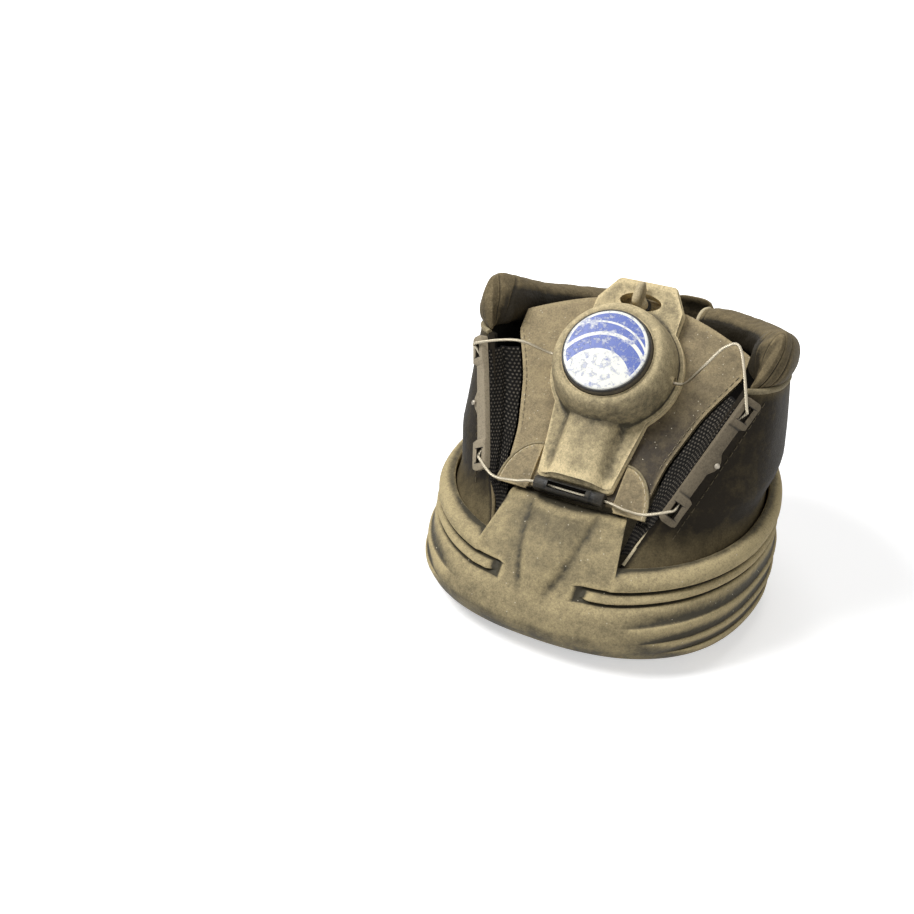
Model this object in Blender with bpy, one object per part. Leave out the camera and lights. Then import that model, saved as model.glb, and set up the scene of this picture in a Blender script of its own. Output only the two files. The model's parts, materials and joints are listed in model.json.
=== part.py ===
"""Horse hoof boot with a steel lace that a reel on the tongue winds in.

The boot stands on the ground, toe towards -Y, with its origin on the ground in the middle of its outline.
All sizes are in metres. Angles round the boot run from -90 at the toe through 0 at the side to 90 at the heel.
"""

import math

import bmesh
import bpy
from mathutils import Matrix, Vector

# Overall form: the outline at each height is a superellipse, and the shares run from the ground up
boot_half_width = 0.0735
toe_reach = 0.081
heel_reach = 0.087
form_height = 0.1386
toe_fullness = 2.4
heel_fullness = 1.95
form_height_shares = (0, 0.05, 0.11, 0.17, 0.22, 0.28, 0.35, 0.45, 0.55, 0.64, 0.73, 0.82, 0.91, 1.0, 1.25)
half_width_shares = (0.93, 0.975, 1, 1, 1, 0.995, 0.98, 0.95, 0.93, 0.915, 0.9, 0.885, 0.88, 0.875, 0.87)
toe_reach_shares = (0.82, 0.94, 1, 0.965, 0.895, 0.81, 0.7, 0.585, 0.5, 0.43, 0.365, 0.3, 0.245, 0.2, 0.14)
heel_reach_shares = (0.95, 0.985, 1, 1, 1, 0.995, 0.99, 0.98, 0.975, 0.97, 0.965, 0.96, 0.955, 0.955, 0.95)
toe_angle = -90
heel_angle = 90
angle_step = 1
form_shift = -0.0040

# Clearances
seat_gap = 0.0003
tuck_gap = 0.0007
cut_overrun = 0.002

# Outer shell
shell_wall = 0.0046
shell_toe_wall = 0.0062
toe_wall_end_angle = -45
shell_floor_height = 0.009
bead_inner_share = 0.8
inner_row_shares = (1.0, 0.75, 0.5, 0.25, 0.0)
ground_edge_round = 0.0015
lip_front_height = 0.039
lip_heel_height = 0.068
lip_sweep = 1.1
lip_rise = 0.0014
slot_angle = -70.0
shield_edge_angle = -71.3
shield_top_height = 0.0543
shield_recess = 0.004
shield_recess_start = 0.041
boss_foot_height = 0.0215
boss_fade_height = 0.014
boss_half_width = 0.0155
boss_rise = 0.004
boss_spread_power = 0.6
boss_crown_power = 0.8
slit_start_angle = -81.5
slit_fade_angle = 3
slit_depth = 0.0018
slit_groove_shares = ((0.70, 0.735), (0.805, 0.84))
slit_flank_share = 0.010
rib_shares = (0.22, 0.37, 0.53)
rib_start_angles = (-50, -58, -66)
rib_fade_angle = 16
rib_ledge_share = 0.018
rib_rise = 0.0009
wall_foot_share = 0.05
bead_shares = (0.87, 0.91, 0.95, 0.985, 1.0)
bead_out_shares = (0.55, 1.0, 1.0, 0.45, -0.7)
shield_columns = 6
wall_columns = 24

# Tread under the sole
tread_depth = 0.003
tread_band_width = 0.017
tread_bar_width = 0.008
tread_pocket_rows = 4
tread_front_share = 0.62
tread_back_share = 0.66
tread_groove_width = 0.003
tread_groove_inner = 0.013
tread_groove_outer = 0.010
tread_outline_shares = (0, 0.33, 0.67, 1)
tread_groove_angles = (-62, -40, -20, 0, 20, 40, 60, 78)

# Insole board
insole_thickness = 0.0022
insole_clearance = 0.0025

# Leather quarters, their linings and the heel strip
quarter_thickness = 0.0022
quarter_inset = 0.0015
quarter_foot_height = 0.018
quarter_swell_height = 0.020
quarter_bulge = 0.0015
bulge_start_angle = -45
bulge_full_angle = 15
edge_foot_x = 0.0292
edge_foot_height = 0.0378
edge_top_x = 0.0561
edge_top_height = 0.1042
edge_top_share = 0.95
edge_solve_steps = 3
heel_join_angle = 89.7
seam_front_height = 0.107
seam_heel_height = 0.091
seam_start_angle = -12
lining_thickness = 0.0018
lining_front_angle = 6
lining_gap = 0.0010
quarter_rows = 14
quarter_columns = 11
heel_strip_half_width = 0.0100
heel_strip_thickness = 0.0016
heel_strip_clearance = 0.0035
heel_strip_top_height = 0.110
heel_strip_out = 0.0028
heel_strip_gap = 0.0009
heel_strip_rows = 8
heel_strip_columns = 8

# Padded collars
collar_half_depth = 0.0085
collar_half_height = 0.0095
collar_inset = 0.0041
collar_fullness = 2.5
collar_foot_angle = -29.5
collar_front_angle = -2
collar_back_angle = 83
collar_end_share = 0.05
collar_end_scale_share = 0.62
collar_length_shares = (0, 0.08, 0.18, 0.35, 0.6, 0.85, 1.0)
collar_height_shares = (1.12, 1.15, 1.02, 0.84, 0.82, 0.9, 0.86)
collar_depth_shares = (0.22, 0.55, 1, 1, 1, 1, 0.9)
collar_stations = 20
collar_section_points = 14

# Side lace guides
guide_low_height = 0.0565
guide_high_height = 0.1040
guide_width = 0.007
guide_seat = 0.0007
guide_thickness = 0.0034
guide_edge_round = 0.001
guide_edge_inset = 0.0012
guide_channel_width = 0.0026
guide_channel_depth = 0.0023
guide_channel_offset = -0.001
guide_window_length = 0.0065
guide_window_width = 0.0032
guide_window_end = 0.0030
guide_stations = 10
stud_radius = 0.0011
stud_height = 0.0007
stud_offset = 0.0020

# Tongue: its own flat frame leans back from the top of the shield
tongue_pitch = 48
hinge_inset = 0.0025
tongue_thickness = 0.002
tongue_padding_thickness = 0.004
tongue_foot = 0.0030
tongue_top = 0.0950
tongue_corner_drop = 0.0145
tongue_corner_power = 1.8
tongue_half_width_limit = 0.0505
tongue_bow = 0.0015
tongue_bow_length = 0.060
tongue_counts = (14, 10)
padding_margin = 0.004
padding_foot = 0.0048
padding_counts = (12, 7)
patch_inner_x = 0.0188
patch_foot = 0.0010
patch_width = 0.0142
patch_height = 0.0205
patch_thickness = 0.001
patch_hollow_share = 0.08
patch_rows = 8
patch_columns = 3

# Mesh gussets between the tongue and the quarters
gusset_foot_width = 0.0065
gusset_width = 0.0105
gusset_top_width = 0.0060
gusset_widen_station = 0.030
gusset_narrow_station = 0.045
gusset_end_station = 0.078
gusset_thickness = 0.0009
gusset_foot_height = 0.0425
gusset_top_height = 0.101
gusset_fold_start = 0.068
gusset_sag_share = 0.12
gusset_top_sag_share = 0.07
gusset_set_back = 0.0004
gusset_edge_depth = 0.0016
gusset_rows = 6
gusset_levels = 12
gusset_gap = 0.0009
slot_foot_x = 0.0262
slot_top_x = 0.0290
gusset_foot_depth = 0.0069
gusset_top_depth = 0.0080

# Lower lace guide across the foot of the tongue
tube_half_length = 0.0156
tube_foot = 0.0010
tube_height = 0.0060
tube_thickness = 0.0060
tube_round = 0.0012
tube_bore_radius = 0.0012
tube_window_half_length = 0.0085
tube_window_height = 0.0028
tube_window_offset = -0.0008

# Reel on the tongue
reel_station = 0.0599
reel_base_radius = 0.0193
reel_base_thickness = 0.0018
post_radius = 0.0022
post_top = 0.0196
housing_radius = 0.0192
housing_inner_radius = 0.0172
housing_ledge_radius = 0.0158
housing_top = 0.0138
lace_port_radius = 0.0017
lace_port_height = 0.0052

# Planetary gear train
gear_module = 0.001
sun_teeth = 12
planet_teeth = 9
ring_teeth = 30
planet_count = 3
pressure_angle = 25
addendum_share = 0.8
dedendum_share = 1.05
tooth_backlash = 0.00022
gear_foot = 0.0084
gear_face_width = 0.0024
ring_outer_radius = 0.0169
flank_steps = 2

# Spool, pull bush and dial
spool_foot = 0.0024
spool_flange_radius = 0.0152
spool_flange_thickness = 0.0008
spool_drum_radius = 0.009
spool_top = 0.0080
spool_bore_radius = 0.0025
carrier_pin_radius = 0.0013
carrier_pin_top = 0.0112
planet_bore_radius = 0.0016
bush_inner_radius = 0.0025
bush_outer_radius = 0.0036
bush_flange_radius = 0.0052
bush_shoulder = 0.0163
bush_flange_thickness = 0.001
screw_head_radius = 0.0036
screw_head_height = 0.0009
dial_radius = 0.0186
dial_foot = 0.0143
dial_web_top = 0.0160
dial_bore_radius = 0.0039
dial_cavity_radius = 0.0155
dial_cavity_top = 0.0212
dial_face_seat = 0.0219
dial_top = 0.0227
dial_chamfer = 0.0006
dial_face_radius = 0.0175
dial_face_clearance = 0.0003
dial_face_thickness = 0.0010
dial_face_crown = 0.0005
sun_top = 0.0140
turned_sides = 40
dial_sides = 48
small_sides = 24
slot_sides = 20
pin_sides = 14
bore_sides = 12
port_sides = 10

# Rubber reel cover: dome, neck with flanges, and top tab
cover_flange = 0.003
cover_hole_radius = 0.0190
cover_cavity_radius = 0.0196
cover_cavity_top = 0.0168
dome_radius = 0.0264
dome_upper_radius = 0.0262
dome_upper_reach = 60
dome_radius_shares = (0, 0.25, 0.48, 0.68, 0.84, 0.94, 1.0)
dome_heights = (0.0196, 0.0198, 0.0188, 0.0164, 0.0124, 0.0080, 0.0045)
dome_upper_heights = (0.0196, 0.0197, 0.0192, 0.0177, 0.0142, 0.0098, 0.0056)
neck_foot = 0.0075
neck_half_width = 0.0125
neck_flange_foot = 0.0165
neck_flange_top = 0.0230
neck_rise_foot = 0.0055
neck_rise_top = 0.0108
neck_power = 4
tab_end = 0.1018
tab_half_width_end = 0.0128
tab_slant = 0.6
tab_half_width_root = 0.0195
tab_rise = 0.0019
cover_columns = 56
cover_skirt_shares = (0.25, 0.5, 0.75, 1.0)
cover_blend_power = 5
cover_margin = 0.0020
cover_settle = 0.004
slot_station = 0.0915
slot_half_length = 0.0093
slot_half_width = 0.0041

# Turn button
button_washer_radius = 0.0037
button_washer_thickness = 0.0010
button_stem_radius = 0.0029
button_stem_foot = 0.0016
wing_foot = 0.0056
wing_height = 0.0075
wing_low_reach = 0.0042
wing_high_reach = 0.0074
wing_thickness = 0.0028
wing_round = 0.0006
wing_top_share = 0.55

# Steel lace
lace_diameter = 0.0012
lace_points_per_span = 2
lace_route = [
    (-0.0099, -0.0154, 0.1008),
    (-0.0085, -0.0100, 0.1068),
    (-0.0017, -0.0071, 0.1100),
    (0.0062, -0.0084, 0.1086),
    (0.0166, -0.0138, 0.1026),
    (0.0215, -0.0138, 0.1026),
    (0.0300, -0.0138, 0.1026),
    (0.0390, -0.0192, 0.1140),
    (0.0450, -0.0152, 0.1220),
    (0.0510, -0.0137, 0.1220),
    (0.0597, -0.0251, 0.1037),
    (0.0596, -0.0239, 0.1004),
    (0.0570, -0.0242, 0.0964),
    (0.0530, -0.0298, 0.0867),
    (0.0485, -0.0366, 0.0755),
    (0.0445, -0.0426, 0.0658),
    (0.0438, -0.0468, 0.0633),
    (0.0419, -0.0499, 0.0631),
    (0.0340, -0.0547, 0.0615),
    (0.0250, -0.0517, 0.0595),
    (0.0166, -0.0498, 0.0598),
    (0.0000, -0.0498, 0.0598),
    (-0.0166, -0.0498, 0.0598),
    (-0.0240, -0.0517, 0.0588),
    (-0.0330, -0.0542, 0.0595),
    (-0.0419, -0.0499, 0.0631),
    (-0.0438, -0.0468, 0.0633),
    (-0.0445, -0.0426, 0.0658),
    (-0.0485, -0.0366, 0.0755),
    (-0.0530, -0.0298, 0.0867),
    (-0.0570, -0.0242, 0.0964),
    (-0.0596, -0.0239, 0.1004),
    (-0.0597, -0.0251, 0.1037),
    (-0.0420, -0.0222, 0.1080),
    (-0.0300, -0.0138, 0.1026),
    (-0.0215, -0.0138, 0.1026),
    (-0.0166, -0.0138, 0.1026),
    (-0.0062, -0.0192, 0.0966),
    (0.0017, -0.0205, 0.0952),
    (0.0085, -0.0175, 0.0984),
    (0.0099, -0.0122, 0.1044),
]

tiny = 0.001
LEFT = -1
RIGHT = 1
SIDES = (("left", LEFT), ("right", RIGHT))


def clear_scene():
    """Remove every object that the file holds."""
    for item in list(bpy.data.objects):
        bpy.data.objects.remove(item, do_unlink=True)


def finish(name, colour, roughness, metallic=0.0):
    """Material of one sub-part."""
    material = bpy.data.materials.new(name)
    material.use_nodes = True
    shader = material.node_tree.nodes["Principled BSDF"]
    shader.inputs["Base Color"].default_value = (*colour, 1)
    shader.inputs["Roughness"].default_value = roughness
    shader.inputs["Metallic"].default_value = metallic
    return material


def place(name, shape, material, smooth_angle=35):
    """Make one object of a finished bmesh, its faces pointing out."""
    bmesh.ops.recalc_face_normals(shape, faces=shape.faces)
    if shape.calc_volume(signed=True) < 0:
        bmesh.ops.reverse_faces(shape, faces=shape.faces)
    mesh = bpy.data.meshes.new(name)
    shape.to_mesh(mesh)
    shape.free()
    mesh.shade_smooth()
    mesh.set_sharp_from_angle(angle=math.radians(smooth_angle))
    mesh.materials.append(material)
    item = bpy.data.objects.new(name, mesh)
    bpy.context.scene.collection.objects.link(item)
    return item


def cut(item, cutter, operation="DIFFERENCE"):
    """Cut one object with another, or join it on."""
    cutter.hide_render = True
    cutter.display_type = "WIRE"
    boolean = item.modifiers.new(cutter.name, "BOOLEAN")
    boolean.operation = operation
    boolean.object = cutter
    return item


def set_origin(item, point):
    """Move an object's origin to a point of its joint's axis, with its shape left in place."""
    item.data.transform(Matrix.Translation(-point))
    item.location = point
    return item


def smooth_value(shares, values, share):
    """Value at a share, on a smooth curve through the stations."""
    last = len(shares) - 1
    high = next((index for index in range(1, last) if shares[index] > share), last)
    low = high - 1

    def slope(index):
        before = max(index - 1, 0)
        after = min(index + 1, last)
        return (values[after] - values[before]) / (shares[after] - shares[before])

    span = shares[high] - shares[low]
    along = min(max((share - shares[low]) / span, 0), 1)
    bend = along * along * (3 - 2 * along)
    ease_in = along * (1 - along) ** 2
    ease_out = along * along * (1 - along)
    level = values[low] * (1 - bend) + values[high] * bend
    return level + span * (slope(low) * ease_in - slope(high) * ease_out)


def ramp(value, start, end):
    """Smooth step from 0 at start to 1 at end."""
    share = min(max((value - start) / (end - start), 0), 1)
    return share * share * (3 - 2 * share)


def mix(low, high, share):
    """Straight blend of two values."""
    return low + (high - low) * share


def fold_angle(angle):
    """The angle of the same place on the right-hand half."""
    return angle if angle <= heel_angle else 2 * heel_angle - angle


def form_extents(height, out):
    """Half width, toe reach and heel reach of the outline at one height."""
    share = height / form_height
    half = boot_half_width * smooth_value(form_height_shares, half_width_shares, share) + out
    front = toe_reach * smooth_value(form_height_shares, toe_reach_shares, share) + out
    back = heel_reach * smooth_value(form_height_shares, heel_reach_shares, share) + out
    return half, front, back


def form_point(angle, height, out=0):
    """Point on the boot's outer form, moved out square to the form by a length."""
    half, front, back = form_extents(height, out)
    cosine = math.cos(math.radians(angle))
    sine = math.sin(math.radians(angle))
    fullness = toe_fullness if sine < 0 else heel_fullness
    reach = -front if sine < 0 else back
    x = math.copysign(half * abs(cosine) ** (2 / fullness), cosine)
    return Vector((x, reach * abs(sine) ** (2 / fullness) + form_shift, height))


def form_normal(angle, height):
    """Level direction out of the form."""
    along = form_point(angle + angle_step, height) - form_point(angle - angle_step, height)
    return Vector((along.y, -along.x, 0)).normalized()


def form_half_width_at(y, height, out):
    """Half width of the outline at one place along the boot."""
    half, front, back = form_extents(height, out)
    along = y - form_shift
    fullness = toe_fullness if along < 0 else heel_fullness
    reach = front if along < 0 else back
    return half * max(1 - abs(along / reach) ** fullness, 0) ** (1 / fullness)


def sided(point, side):
    """Mirror a right-hand point to the left where the side asks for it."""
    return Vector((point.x * side, point.y, point.z))


def lip_height(fold):
    """Height of the shell's side lip."""
    share = max((fold - slot_angle) / (heel_angle - slot_angle), 0)
    return mix(lip_front_height, lip_heel_height, share ** lip_sweep)


def wall_thickness(fold):
    """Level thickness of the shell's wall, thicker where the toe slopes."""
    return mix(shell_toe_wall, shell_wall, ramp(fold, shield_edge_angle, toe_wall_end_angle))


def recess(fold, height):
    """How far the top of the front shield is set back."""
    if fold > shield_edge_angle:
        return 0
    return shield_recess * ramp(height, shield_recess_start, shield_top_height)


def boss(angle, height):
    """Rise of the nose-shaped boss on the toe."""
    share = (height - boss_foot_height) / (shield_top_height - boss_foot_height)
    if share <= 0 or fold_angle(angle) > slot_angle:
        return 0
    reach = boss_half_width * share ** boss_spread_power
    across = form_point(angle, height).x / reach
    if abs(across) >= 1:
        return 0
    crown = (1 - across * across) ** boss_crown_power
    return boss_rise * crown * ramp(height, boss_foot_height, boss_foot_height + boss_fade_height)


def sheet_solid(shape, outer, inner):
    """Close two grids of points, outer[u][v] and inner[u][v], into one solid sheet."""
    top = [[shape.verts.new(point) for point in row] for row in outer]
    low = [[shape.verts.new(point) for point in row] for row in inner]
    rows = len(top)
    columns = len(top[0])
    for grid in (top, low):
        for row in range(rows - 1):
            for column in range(columns - 1):
                shape.faces.new((grid[row][column], grid[row + 1][column],
                                 grid[row + 1][column + 1], grid[row][column + 1]))
    border = [(0, column) for column in range(columns)]
    border += [(row, columns - 1) for row in range(1, rows)]
    border += [(rows - 1, column) for column in range(columns - 2, -1, -1)]
    border += [(row, 0) for row in range(rows - 2, 0, -1)]
    for place_now, place_next in zip(border, border[1:] + border[:1]):
        a, b = top[place_now[0]][place_now[1]], top[place_next[0]][place_next[1]]
        c, d = low[place_next[0]][place_next[1]], low[place_now[0]][place_now[1]]
        shape.faces.new((a, b, c, d))
    return shape


def ring_solid(shape, rings, closed=False):
    """Bridge rings of points in turn: cap the first and last, or join them into a closed tube."""
    loops = [[shape.verts.new(point) for point in ring] for ring in rings]
    count = len(loops[0])
    pairs = list(zip(loops, loops[1:]))
    if closed:
        pairs.append((loops[-1], loops[0]))
    for low, high in pairs:
        for index in range(count):
            follow = (index + 1) % count
            shape.faces.new((low[index], low[follow], high[follow], high[index]))
    if not closed:
        shape.faces.new(loops[0])
        shape.faces.new(loops[-1])
    return shape


def turned(shape, profile, frame, sides=turned_sides):
    """Turn a profile of (radius, height) pairs about an axis; ends at radius 0 close on the axis."""
    rings = []
    for radius, height in profile:
        if radius == 0:
            rings.append([shape.verts.new(frame @ Vector((0, 0, height)))])
            continue
        turn = [2 * math.pi * index / sides for index in range(sides)]
        spots = [Vector((radius * math.cos(a), radius * math.sin(a), height)) for a in turn]
        rings.append([shape.verts.new(frame @ spot) for spot in spots])
    pairs = list(zip(rings, rings[1:]))
    if len(rings[0]) > 1:
        pairs.append((rings[-1], rings[0]))
    for low, high in pairs:
        for index in range(sides):
            follow = (index + 1) % sides
            corners = [low[index % len(low)], low[follow % len(low)],
                       high[follow % len(high)], high[index % len(high)]]
            shape.faces.new(list(dict.fromkeys(corners)))
    return shape


def block(shape, size, frame):
    """Box of a size, centred in a frame."""
    scale = Matrix.Diagonal((*size, 1))
    bmesh.ops.create_cube(shape, size=1, matrix=frame @ scale)
    return shape


def rounded_block(shape, size, frame, radius, segments=2):
    """Box with its edges rounded."""
    block(shape, size, frame)
    bmesh.ops.bevel(shape, geom=list(shape.edges), offset=radius, segments=segments, affect="EDGES",
                    profile=0.5)
    return shape


def tongue_frame(station=0, height=0):
    """Frame on the tongue: X across, Y up the slope, Z out of the tongue."""
    hinge_out = -(shield_recess + hinge_inset)
    origin = form_point(toe_angle, shield_top_height, hinge_out) + Vector((0, 0, seat_gap))
    tilt = Matrix.Rotation(math.radians(tongue_pitch), 4, "X")
    return Matrix.Translation(origin) @ tilt @ Matrix.Translation((0, station, height))


def edge_x(height):
    """Place across the boot of a quarter's front edge."""
    share = (max(height, edge_foot_height) - edge_foot_height) / (edge_top_height - edge_foot_height)
    return mix(edge_foot_x, edge_top_x, share)


def edge_angle(height):
    """Angle of a quarter's front edge."""
    out = 0
    for _ in range(edge_solve_steps):
        across = min(edge_x(height) / form_extents(height, out)[0], edge_top_share)
        fold = -math.degrees(math.acos(across ** (toe_fullness / 2)))
        out = quarter_out(fold, height)
    return fold


def seam_height(fold):
    """Height of the seam between a quarter and its collar."""
    return mix(seam_front_height, seam_heel_height, ramp(fold, seam_start_angle, heel_angle))


def quarter_out(fold, height):
    """Outer face of a quarter: tucked behind the shell's wall below, swelling out above the lip."""
    tucked = -(wall_thickness(fold) + tuck_gap)
    lip = lip_height(fold)
    swell = mix(-quarter_inset, quarter_bulge, ramp(fold, bulge_start_angle, bulge_full_angle))
    return mix(tucked, swell, ramp(height, lip, lip + quarter_swell_height))


def tongue_half_width(station):
    """Half width of the tongue at one station up its slope."""
    height = (tongue_frame(station) @ Vector((0, 0, 0))).z
    width = mix(gusset_foot_width, gusset_width, ramp(station, 0, gusset_widen_station))
    width = mix(width, gusset_top_width, ramp(station, gusset_narrow_station, gusset_end_station))
    return min(edge_x(height) - width, tongue_half_width_limit)


def tongue_drop(x, station):
    """How far the tongue's face bends back from its flat frame."""
    share = x / tongue_half_width_limit
    return tongue_bow * share * share * min(max(station / tongue_bow_length, 0), 1)


def on_tongue(x, station, height=0):
    """Point over the tongue's face."""
    return tongue_frame() @ Vector((x, station, height - tongue_drop(x, station)))


def build_outer_shell(material):
    """Rubber shell: sole, wall with slit, ribs and lip, toe boss and front shield."""
    columns = [shell_section(angle) for angle in column_angles()]
    rings = [[column[row] for column in columns] for row in range(len(columns[0]))]
    shell = place("outer_shell", ring_solid(bmesh.new(), rings), material)
    tread = place("tread_cutter", tread_cuts(), material)
    return cut(shell, tread)


def column_angles():
    """Angles of the shell's upright sections, all the way round."""
    half = [mix(toe_angle, shield_edge_angle, index / (shield_columns - 1)) for index in range(shield_columns)]
    half += [mix(slot_angle, heel_angle, index / (wall_columns - 1)) for index in range(wall_columns)]
    return half + [2 * heel_angle - angle for angle in reversed(half[1:-1])]


def shell_section(angle):
    """One upright section of the shell, from the ground up the outside and down the inside."""
    fold = fold_angle(angle)
    lip = lip_height(fold)
    on_shield = fold <= shield_edge_angle
    top = shield_top_height if on_shield else lip
    rows = [(0, -ground_edge_round), (wall_foot_share * lip, 0)]
    for share, start in zip(rib_shares, rib_start_angles):
        rise = rib_rise * ramp(fold, start, start + rib_fade_angle)
        rows += [(share * lip, rise), ((share + rib_ledge_share) * lip, -rise)]
    groove = -slit_depth * ramp(fold, slit_start_angle, slit_start_angle + slit_fade_angle)
    for low, high in slit_groove_shares:
        rows += [(low * lip, 0), ((low + slit_flank_share) * lip, groove)]
        rows += [((high - slit_flank_share) * lip, groove), (high * lip, 0)]
    last = rows[-1][0]
    for index, (share, out) in enumerate(zip(bead_shares, bead_out_shares)):
        if on_shield:
            rows.append((mix(last, top, (index + 1) / len(bead_shares)), 0))
        else:
            rows.append((share * lip, out * lip_rise))
    wall = wall_thickness(fold)
    points = [form_point(angle, height, out + boss(angle, height) - recess(fold, height))
              for height, out in rows]
    points.append(form_point(angle, top, -wall * bead_inner_share - recess(fold, top)))
    for share in inner_row_shares:
        height = mix(shell_floor_height, top - ground_edge_round, share)
        points.append(form_point(angle, height, -wall - recess(fold, height)))
    return points


def tread_cuts():
    """Pockets in the middle of the sole and grooves across its rim."""
    shape = bmesh.new()
    front = -toe_reach * tread_front_share
    back = heel_reach * tread_back_share
    pitch = (back - front) / tread_pocket_rows
    for row in range(tread_pocket_rows):
        low = front + row * pitch + tread_bar_width / 2
        high = front + (row + 1) * pitch - tread_bar_width / 2
        for side in (LEFT, RIGHT):
            outline = [(tread_bar_width / 2, low)]
            for share in tread_outline_shares:
                y = mix(low, high, share)
                outline.append((form_half_width_at(y, 0, -tread_band_width), y))
            outline.append((tread_bar_width / 2, high))
            rings = [[Vector((x * side, y, z)) for x, y in outline] for z in (-cut_overrun, tread_depth)]
            ring_solid(shape, rings)
    for angle in tread_groove_angles:
        for turned_angle in (angle, 2 * heel_angle - angle):
            out = form_normal(turned_angle, 0)
            middle = form_point(turned_angle, 0) + out * (tread_groove_outer - tread_groove_inner) / 2
            frame = Matrix.Translation(middle) @ Matrix.Rotation(math.atan2(out.y, out.x), 4, "Z")
            length = tread_groove_outer + tread_groove_inner
            block(shape, (length, tread_groove_width, 2 * tread_depth), frame)
    return shape


def build_insole(material):
    """Insole board on the floor of the shell."""
    rings = []
    foot = shell_floor_height + seat_gap
    for height in (foot, foot + insole_thickness):
        outs = [-(wall_thickness(fold_angle(angle)) + insole_clearance) for angle in column_angles()]
        rings.append([form_point(angle, height, out) for angle, out in zip(column_angles(), outs)])
    return place("insole", ring_solid(bmesh.new(), rings), material)


def quarter_grid(side, depth, front_angle=0, top_gap=0):
    """Grid of points on a quarter's surface, set in by a depth, an angle and a top gap."""
    grid = []
    front_top = edge_angle(seam_front_height) + front_angle
    for row in range(quarter_rows + 1):
        along = row / quarter_rows
        top = seam_height(mix(front_top, heel_join_angle, along)) - top_gap
        line = []
        for column in range(quarter_columns + 1):
            height = mix(quarter_foot_height, top, column / quarter_columns)
            fold = mix(edge_angle(height) + front_angle, heel_join_angle, along)
            line.append(sided(form_point(fold, height, quarter_out(fold, height) - depth), side))
        grid.append(line)
    return grid


def build_quarter(name, side, material):
    """Leather quarter, tucked into the shell below and stitched to its collar above."""
    grids = (quarter_grid(side, 0), quarter_grid(side, quarter_thickness))
    return place(name, sheet_solid(bmesh.new(), *grids), material)


def build_lining(name, side, material):
    """Soft lining behind a quarter."""
    front = quarter_thickness + lining_gap
    depths = (front, front + lining_thickness)
    grids = [quarter_grid(side, depth, lining_front_angle, lining_gap) for depth in depths]
    return place(name, sheet_solid(bmesh.new(), *grids), material)


def build_heel_strip(material):
    """Leather strip over the join of the quarters at the back."""
    foot = lip_heel_height + heel_strip_clearance
    outer = []
    inner = []
    for row in range(heel_strip_rows + 1):
        x = mix(-heel_strip_half_width, heel_strip_half_width, row / heel_strip_rows)
        lines = ([], [])
        for column in range(heel_strip_columns + 1):
            height = mix(foot, heel_strip_top_height, column / heel_strip_columns)
            turn = math.degrees(math.acos(abs(x / form_extents(height, 0)[0]) ** (heel_fullness / 2)))
            out = quarter_out(turn, height) + heel_strip_gap
            out = mix(out, heel_strip_out, ramp(height, seam_heel_height - quarter_foot_height / 2, seam_heel_height))
            for line, shift in zip(lines, (heel_strip_thickness, 0)):
                half, _, back = form_extents(height, out + shift)
                reach = back * (1 - abs(x / half) ** heel_fullness) ** (1 / heel_fullness)
                line.append(Vector((x, reach + form_shift, height)))
        outer.append(lines[0])
        inner.append(lines[1])
    return place("heel_strip", sheet_solid(bmesh.new(), outer, inner), material)


def collar_spot(along, across, rise):
    """Point of the right-hand collar: across from -1 inside to 1 outside, rise from -1 to 1."""
    front = mix(collar_foot_angle, collar_front_angle, (rise + 1) / 2)
    fold = mix(front, collar_back_angle, along)
    half_height = collar_half_height * smooth_value(collar_length_shares, collar_height_shares, along)
    depth_share = smooth_value(collar_length_shares, collar_depth_shares, along)
    end = min(1 - along, collar_end_share) / collar_end_share
    scale = mix(collar_end_scale_share, 1, math.sqrt(1 - (1 - end) ** 2))
    foot = seam_height(fold) + seat_gap
    centre_height = foot + half_height
    inset = collar_inset * depth_share
    out = collar_half_depth * depth_share * across * scale - inset
    spot = form_point(fold, centre_height) + form_normal(fold, foot) * out
    spot.z += half_height * rise * scale
    return spot


def build_collar(name, side, material):
    """Padded collar: a stuffed roll with a crown, flat at its slanted front and drawn in at the back."""
    rings = []
    for station in range(collar_stations + 1):
        ring = []
        for index in range(collar_section_points):
            turn = 2 * math.pi * index / collar_section_points
            across = math.copysign(abs(math.cos(turn)) ** (2 / collar_fullness), math.cos(turn))
            rise = math.copysign(abs(math.sin(turn)) ** (2 / collar_fullness), math.sin(turn))
            ring.append(sided(collar_spot(station / collar_stations, across, rise), side))
        rings.append(ring)
    return place(name, ring_solid(bmesh.new(), rings), material, smooth_angle=60)


def guide_frame(height, side, across=0, out=0):
    """Frame on a side lace guide: X across it, Y along it and up, Z out of the leather."""
    def seat(level):
        fold = edge_angle(level)
        start = form_point(fold, level, quarter_out(fold, level))
        next_fold = fold + angle_step
        ahead = form_point(next_fold, level, quarter_out(next_fold, level))
        step = (guide_edge_inset + guide_width / 2) / (ahead - start).length
        place_fold = fold + step
        return place_fold, form_point(place_fold, level, quarter_out(place_fold, level) + guide_seat)

    fold, origin = seat(height)
    above = seat(height + guide_edge_inset)[1]
    below = seat(height - guide_edge_inset)[1]
    along = (above - below).normalized()
    before, after = fold - angle_step, fold + angle_step
    beside = form_point(after, height, quarter_out(after, height))
    beside -= form_point(before, height, quarter_out(before, height))
    outward = beside.cross(along).normalized()
    width_way = along.cross(outward).normalized()
    origin = origin + width_way * across + outward * out
    columns = [sided(vector, side) for vector in (width_way, along, outward, origin)]
    frame = Matrix.Identity(4)
    for index, column in enumerate(columns):
        frame.col[index][:3] = column
    return frame


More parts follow.
